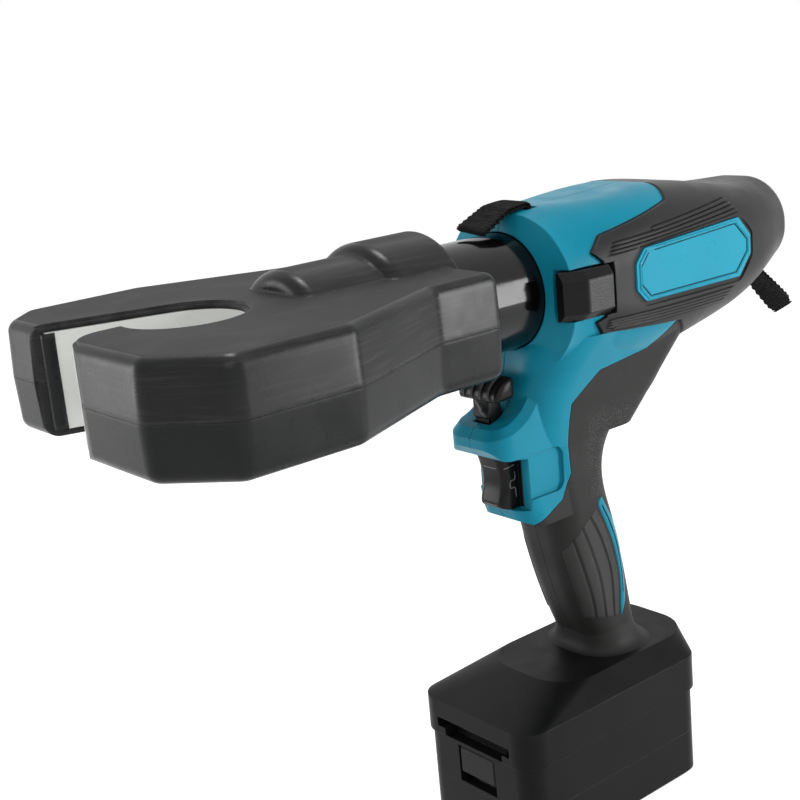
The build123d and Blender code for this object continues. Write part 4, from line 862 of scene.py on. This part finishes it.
for step in range(PADDLE_RIBS * PADDLE_STEPS + 1):
    share = step / (PADDLE_RIBS * PADDLE_STEPS)
    dip = SCALLOP * abs(math.sin(math.pi * PADDLE_RIBS * share)) ** SCALLOP_POWER
    from_end = min(share, 1 - share) * 2 * PADDLE_HALF
    round_off = 1 - END_DROP * max(1 - from_end / END_ROUND, 0.0) ** 2
    ring = []
    for point in outline:
        away = (point - middle) * round_off
        shown = max(min((away.x + away.y) / SHOWN_SPAN, 1.0), 0.0)
        away -= away.normalized() * dip * shown * min(from_end / SCALLOP_FADE, 1.0)
        ring.append(spot(middle.x + away.x, PADDLE_HALF * (2 * share - 1), middle.y + away.y))
    rings.append(ring)
stem_rings = []
for level, rear, front in LEVER_STEM:
    corners = (
        (rear, -1),
        (front - STEM_BEVEL, -1),
        (front, -BEVEL_SHARE),
        (front, BEVEL_SHARE),
        (front - STEM_BEVEL, 1),
        (rear, 1),
    )
    stem_rings.append([spot(x, y * LEVER_STEM_HALF, level) for x, y in corners])
lever = piece("lever_paddle", [loop_wall(rings), loop_wall(stem_rings)], "control", "lever")
close_shell(lever, EDGE_SHARP)
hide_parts("release_lever")

# Near-black strips on the housing walls beside the trigger: painted shade in the gaps round it
housing_skin = skin("housing_left", "housing_right")
SURROUND_TOP, SURROUND_FOOT = -73.0, -96.8
SURROUND_STEPS = 24
SURROUND_INNER, SURROUND_OUTER = 9.0, 11.6
SURROUND_RISE, SURROUND_SINK = 0.2, 0.1
levels = []
for step in range(SURROUND_STEPS):
    levels.append(SURROUND_TOP + (SURROUND_FOOT - SURROUND_TOP) * step / (SURROUND_STEPS - 1))
gap_shade = []
for _, side in SIDES:
    inner = [(side * SURROUND_INNER, level) for level in levels]
    outer = [(side * SURROUND_OUTER, level) for level in levels]
    gap_shade.append(patch(
        housing_skin, inner, outer, 0, lambda u, v: SURROUND_RISE, columns=7, sink=SURROUND_SINK,
    ))
piece("trigger_gap_shade", gap_shade, "control", "main")

# Trigger with a hollow, round-edged finger face, and thin light-grey lines on its sides and across its face
TRIGGER_REAR = 1.0
TRIGGER_STEM = ((1.6, 3.0), (-4.4, 3.0), (-5.0, 2.5))
STEM_LEVEL = -84.7
STEM_STEPS = 24
TRIGGER_HALF = 8.3
TRIGGER_FACE = ((18.4, -72.6), (17.3, -76.0), (16.3, -80.0), (15.9, -84.5), (16.5, -89.0), (17.8, -93.4),
                (17.5, -95.6), (15.6, -96.8))
TRIGGER_ROUND = 3.6
TRIGGER_ROWS = 40
ARC_STEPS = 8
rings = []
for x, level in smooth(TRIGGER_FACE, TRIGGER_ROWS):
    ring = [spot(TRIGGER_REAR, TRIGGER_HALF, level)]
    for side in (1, -1):
        for step in range(ARC_STEPS + 1):
            turn = math.pi / 2 * (step if side > 0 else ARC_STEPS - step) / ARC_STEPS
            ahead = x - TRIGGER_ROUND * (1 - math.sin(turn))
            across = side * (TRIGGER_HALF - TRIGGER_ROUND * (1 - math.cos(turn)))
            ring.append(spot(ahead, across, level))
    ring.append(spot(TRIGGER_REAR, -TRIGGER_HALF, level))
    rings.append(ring)
trigger_shape = loop_wall(rings)
stem_rings = []
for along, radius in TRIGGER_STEM:
    ring = []
    for step in range(STEM_STEPS):
        turn = 2 * math.pi * step / STEM_STEPS
        ring.append(spot(along, radius * math.cos(turn), STEM_LEVEL + radius * math.sin(turn)))
    stem_rings.append(ring)
finger = piece("trigger_finger", [trigger_shape, loop_wall(stem_rings)], "control", "trigger")
close_shell(finger, EDGE_SHARP)
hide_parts("trigger")

trigger_skin = BVHTree.FromPolygons(*trigger_shape)
TRIGGER_LINES = (
    ((15.6, -77.4), (12.6, -77.0), (9.4, -76.6)),
    ((9.6, -79.4), (9.8, -83.4), (12.4, -83.7), (12.6, -87.0), (10.0, -87.3), (9.6, -92.4)),
)
FACE_LINES = (
    ((-4.4, -77.4), (0.0, -77.5), (4.4, -77.4)),
    ((-4.4, -94.6), (0.0, -94.8), (4.4, -94.6)),
)
PANEL_WIDTH = 0.5
PANEL_RISE = 0.1
PANEL_ROWS = 30
lines = []
for side, paths in ((1, TRIGGER_LINES), (-1, TRIGGER_LINES), (0, FACE_LINES)):
    for path in paths:
        lines.append(bead(trigger_skin, path, PANEL_WIDTH, side, lambda u, v: PANEL_RISE, PANEL_ROWS))
piece("trigger_lines", lines, "trigger_line_grey", "trigger")

# Rounded lip of the cover on the front end of the straight mouth wall
LIP_REACH = 5.0
LIP_THICK = 1.1
LIP_HALF = 18.6
LIP_X = 200.2
LIP_STEPS = 24
LIP_TURNS = 16
LIP_SWELL = 0.5
LIP_SQUARE = 0.7
MOUTH_MIDDLE = -20.0
MOUTH_FLARE = math.tan(math.radians(18))
yoke_skin = skin("head_yoke")
rings = []
for step in range(LIP_STEPS + 1):
    share = 2 * step / LIP_STEPS - 1
    place, _, _, _ = yoke_skin.ray_cast(spot(LIP_X, MOUTH_MIDDLE, LIP_HALF * share), Vector((0, -1, 0)))
    swell = LIP_THICK * (1 + LIP_SWELL * abs(share) ** 6)
    ring = []
    for turn in range(LIP_TURNS):
        angle = 2 * math.pi * turn / LIP_TURNS
        across = math.copysign(abs(math.cos(angle)) ** LIP_SQUARE, math.cos(angle))
        deep = math.copysign(abs(math.sin(angle)) ** LIP_SQUARE, math.sin(angle))
        reach = LIP_REACH / 2 * across
        ring.append(spot(LIP_X + reach, place.y / MM - reach * MOUTH_FLARE + deep * swell, LIP_HALF * share))
    rings.append(ring)
lip = piece("mouth_lip", [loop_wall(rings)], "head_cover", "head")
close_shell(lip)

# Badge: bevelled rim round the plate and a near-black line inside it as painted shade at the rim's inner step
BADGE_RING = ((-46.0, 14.4), (-117.0, 16.0), (-126.4, 7.4), (-126.4, -3.4), (-117.0, -12.0), (-46.0, -10.4),
              (-40.2, -4.6), (-40.2, 8.6))
BADGE_MIDDLE = Vector((-83.0, 2.0))
INSET_TALL = 0.95
RIM_OUTER, RIM_INNER, LINE_INNER = 0.9, 2.5, 3.0
RIM_RISE = 0.75
BADGE_LINE_RISE = 0.06
SIDE_STEPS = 14
badge_skin = skin("badge", "rear_cover")


def inset_ring(inset):
    """Badge outline drawn in by a distance, with many points on its straight sides."""
    corners = []
    for point in BADGE_RING:
        away = Vector(point) - BADGE_MIDDLE
        along = away.x - math.copysign(inset, away.x)
        level = away.y - math.copysign(inset, away.y) * INSET_TALL
        corners.append(BADGE_MIDDLE + Vector((along, level)))
    ring = []
    for a, b in zip(corners, [*corners[1:], corners[0]]):
        ring += [a.lerp(b, step / SIDE_STEPS) for step in range(SIDE_STEPS)]
    ring.append(ring[0])
    return ring


rim = patch(
    badge_skin, inset_ring(RIM_OUTER), inset_ring(RIM_INNER), 1,
    lambda u, v: RIM_RISE * math.sin(math.pi * u), columns=7,
)
# Near-black line just inside the rim: painted shade at its inner step
line = patch(
    badge_skin, inset_ring(RIM_INNER), inset_ring(LINE_INNER), 1,
    lambda u, v: BADGE_LINE_RISE, columns=5,
)
piece("badge_rim", [rim], "badge", "main")
piece("badge_shade_line", [line], "groove_shade", "main")

# Housing screws on the right side, each in a shallow seat
SCREW_R = 2.6
SCREW_PLACES = ((-9.0, 23.5, "housing_right"), (3.0, -62.0, "housing_right"), (-18.0, -104.0, "grip_right"),
                (-37.0, -80.0, "grip_right"))
SCREW_PROFILE = ((0.55, -1.1), (0.5, 0.25), (0.62, 0.45), (0.82, 0.42), (0.96, 0.25), (1.0, 0.0), (1.0, -0.4))
LOBES = 6
LOBE_DEPTH = 0.16
RECESS_SHARE = 0.6
TURN_STEPS = 48
for index, (x, z, node_name) in enumerate(SCREW_PLACES):
    place, normal = lay(skin(node_name), x, z, -1)
    turn = normal.to_track_quat("Z", "Y").to_matrix()
    points = []
    for share, rise in SCREW_PROFILE:
        for step in range(TURN_STEPS):
            angle = 2 * math.pi * step / TURN_STEPS
            lobe = 1 + LOBE_DEPTH * math.cos(LOBES * angle) if share < RECESS_SHARE else 1.0
            reach = SCREW_R * share * lobe
            offset = Vector((reach * math.cos(angle), reach * math.sin(angle), rise))
            points.append(place + turn @ offset * MM)
    faces = grid_faces(len(SCREW_PROFILE), TURN_STEPS, flip=True, closed=True)
    faces.append(list(range(TURN_STEPS)))
    piece(f"housing_screw_{index + 1}", [(points, faces)], "spring", "main")

# Tongue that closes the seam of the handle from inside, along its back
TONGUE_LOW = -180.0
TONGUE_HIGH = -50.0
TONGUE_STEPS = 130
TONGUE_HALF = 0.6
TONGUE_DEPTHS = ((1, 1.0), (1, 3.0), (-1, 3.0), (-1, 1.0))
back = skin("grip_left")
rings = []
for step in range(TONGUE_STEPS + 1):
    level = TONGUE_LOW + (TONGUE_HIGH - TONGUE_LOW) * step / TONGUE_STEPS
    place, normal, _, _ = back.ray_cast(spot(-LOOK_AHEAD, TONGUE_HALF, level), Vector((1, 0, 0)))
    inward = Vector((normal.x, 0.0, normal.z)).normalized()
    if inward.x < 0:
        inward = -inward
    ring = []
    for side, depth in TONGUE_DEPTHS:
        ring.append(Vector((place.x, side * TONGUE_HALF * MM, place.z)) + depth * MM * inward)
    rings.append(ring)
piece("seam_tongue", [loop_wall(rings, flip=True)], "grip", "main")

# Return spring round the rod, with closed end turns
COIL_TURNS = 5
COIL_STEPS = 240
END_TURNS = 0.7
END_SHARE = END_TURNS / COIL_TURNS
WIRE_R = 1.4
WIRE_STEPS = 10
spring_low, spring_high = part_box("return_spring")
spring_length = spring_high.x - spring_low.x
axis_height = (spring_low.z + spring_high.z) / 2
wire_r = WIRE_R * MM
coil_r = (spring_high.z - spring_low.z) / 2 - wire_r
rings = []
for step in range(COIL_STEPS + 1):
    share = step / COIL_STEPS
    angle = 2 * math.pi * COIL_TURNS * share
    climb = min(1.0, max(0.0, (share - END_SHARE) / (1 - 2 * END_SHARE)))
    outward = Vector((0.0, math.cos(angle), math.sin(angle)))
    along = spring_low.x + wire_r + climb * (spring_length - 2 * wire_r)
    centre = Vector((along, 0.0, axis_height)) + coil_r * outward
    ring = []
    for corner in range(WIRE_STEPS):
        turn = 2 * math.pi * corner / WIRE_STEPS
        ring.append(centre + wire_r * (math.cos(turn) * outward + math.sin(turn) * Vector((1, 0, 0))))
    rings.append(ring)
coil = piece("coil_spring", [loop_wall(rings, flip=True)], "spring", "head")
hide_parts("return_spring")
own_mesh(coil)
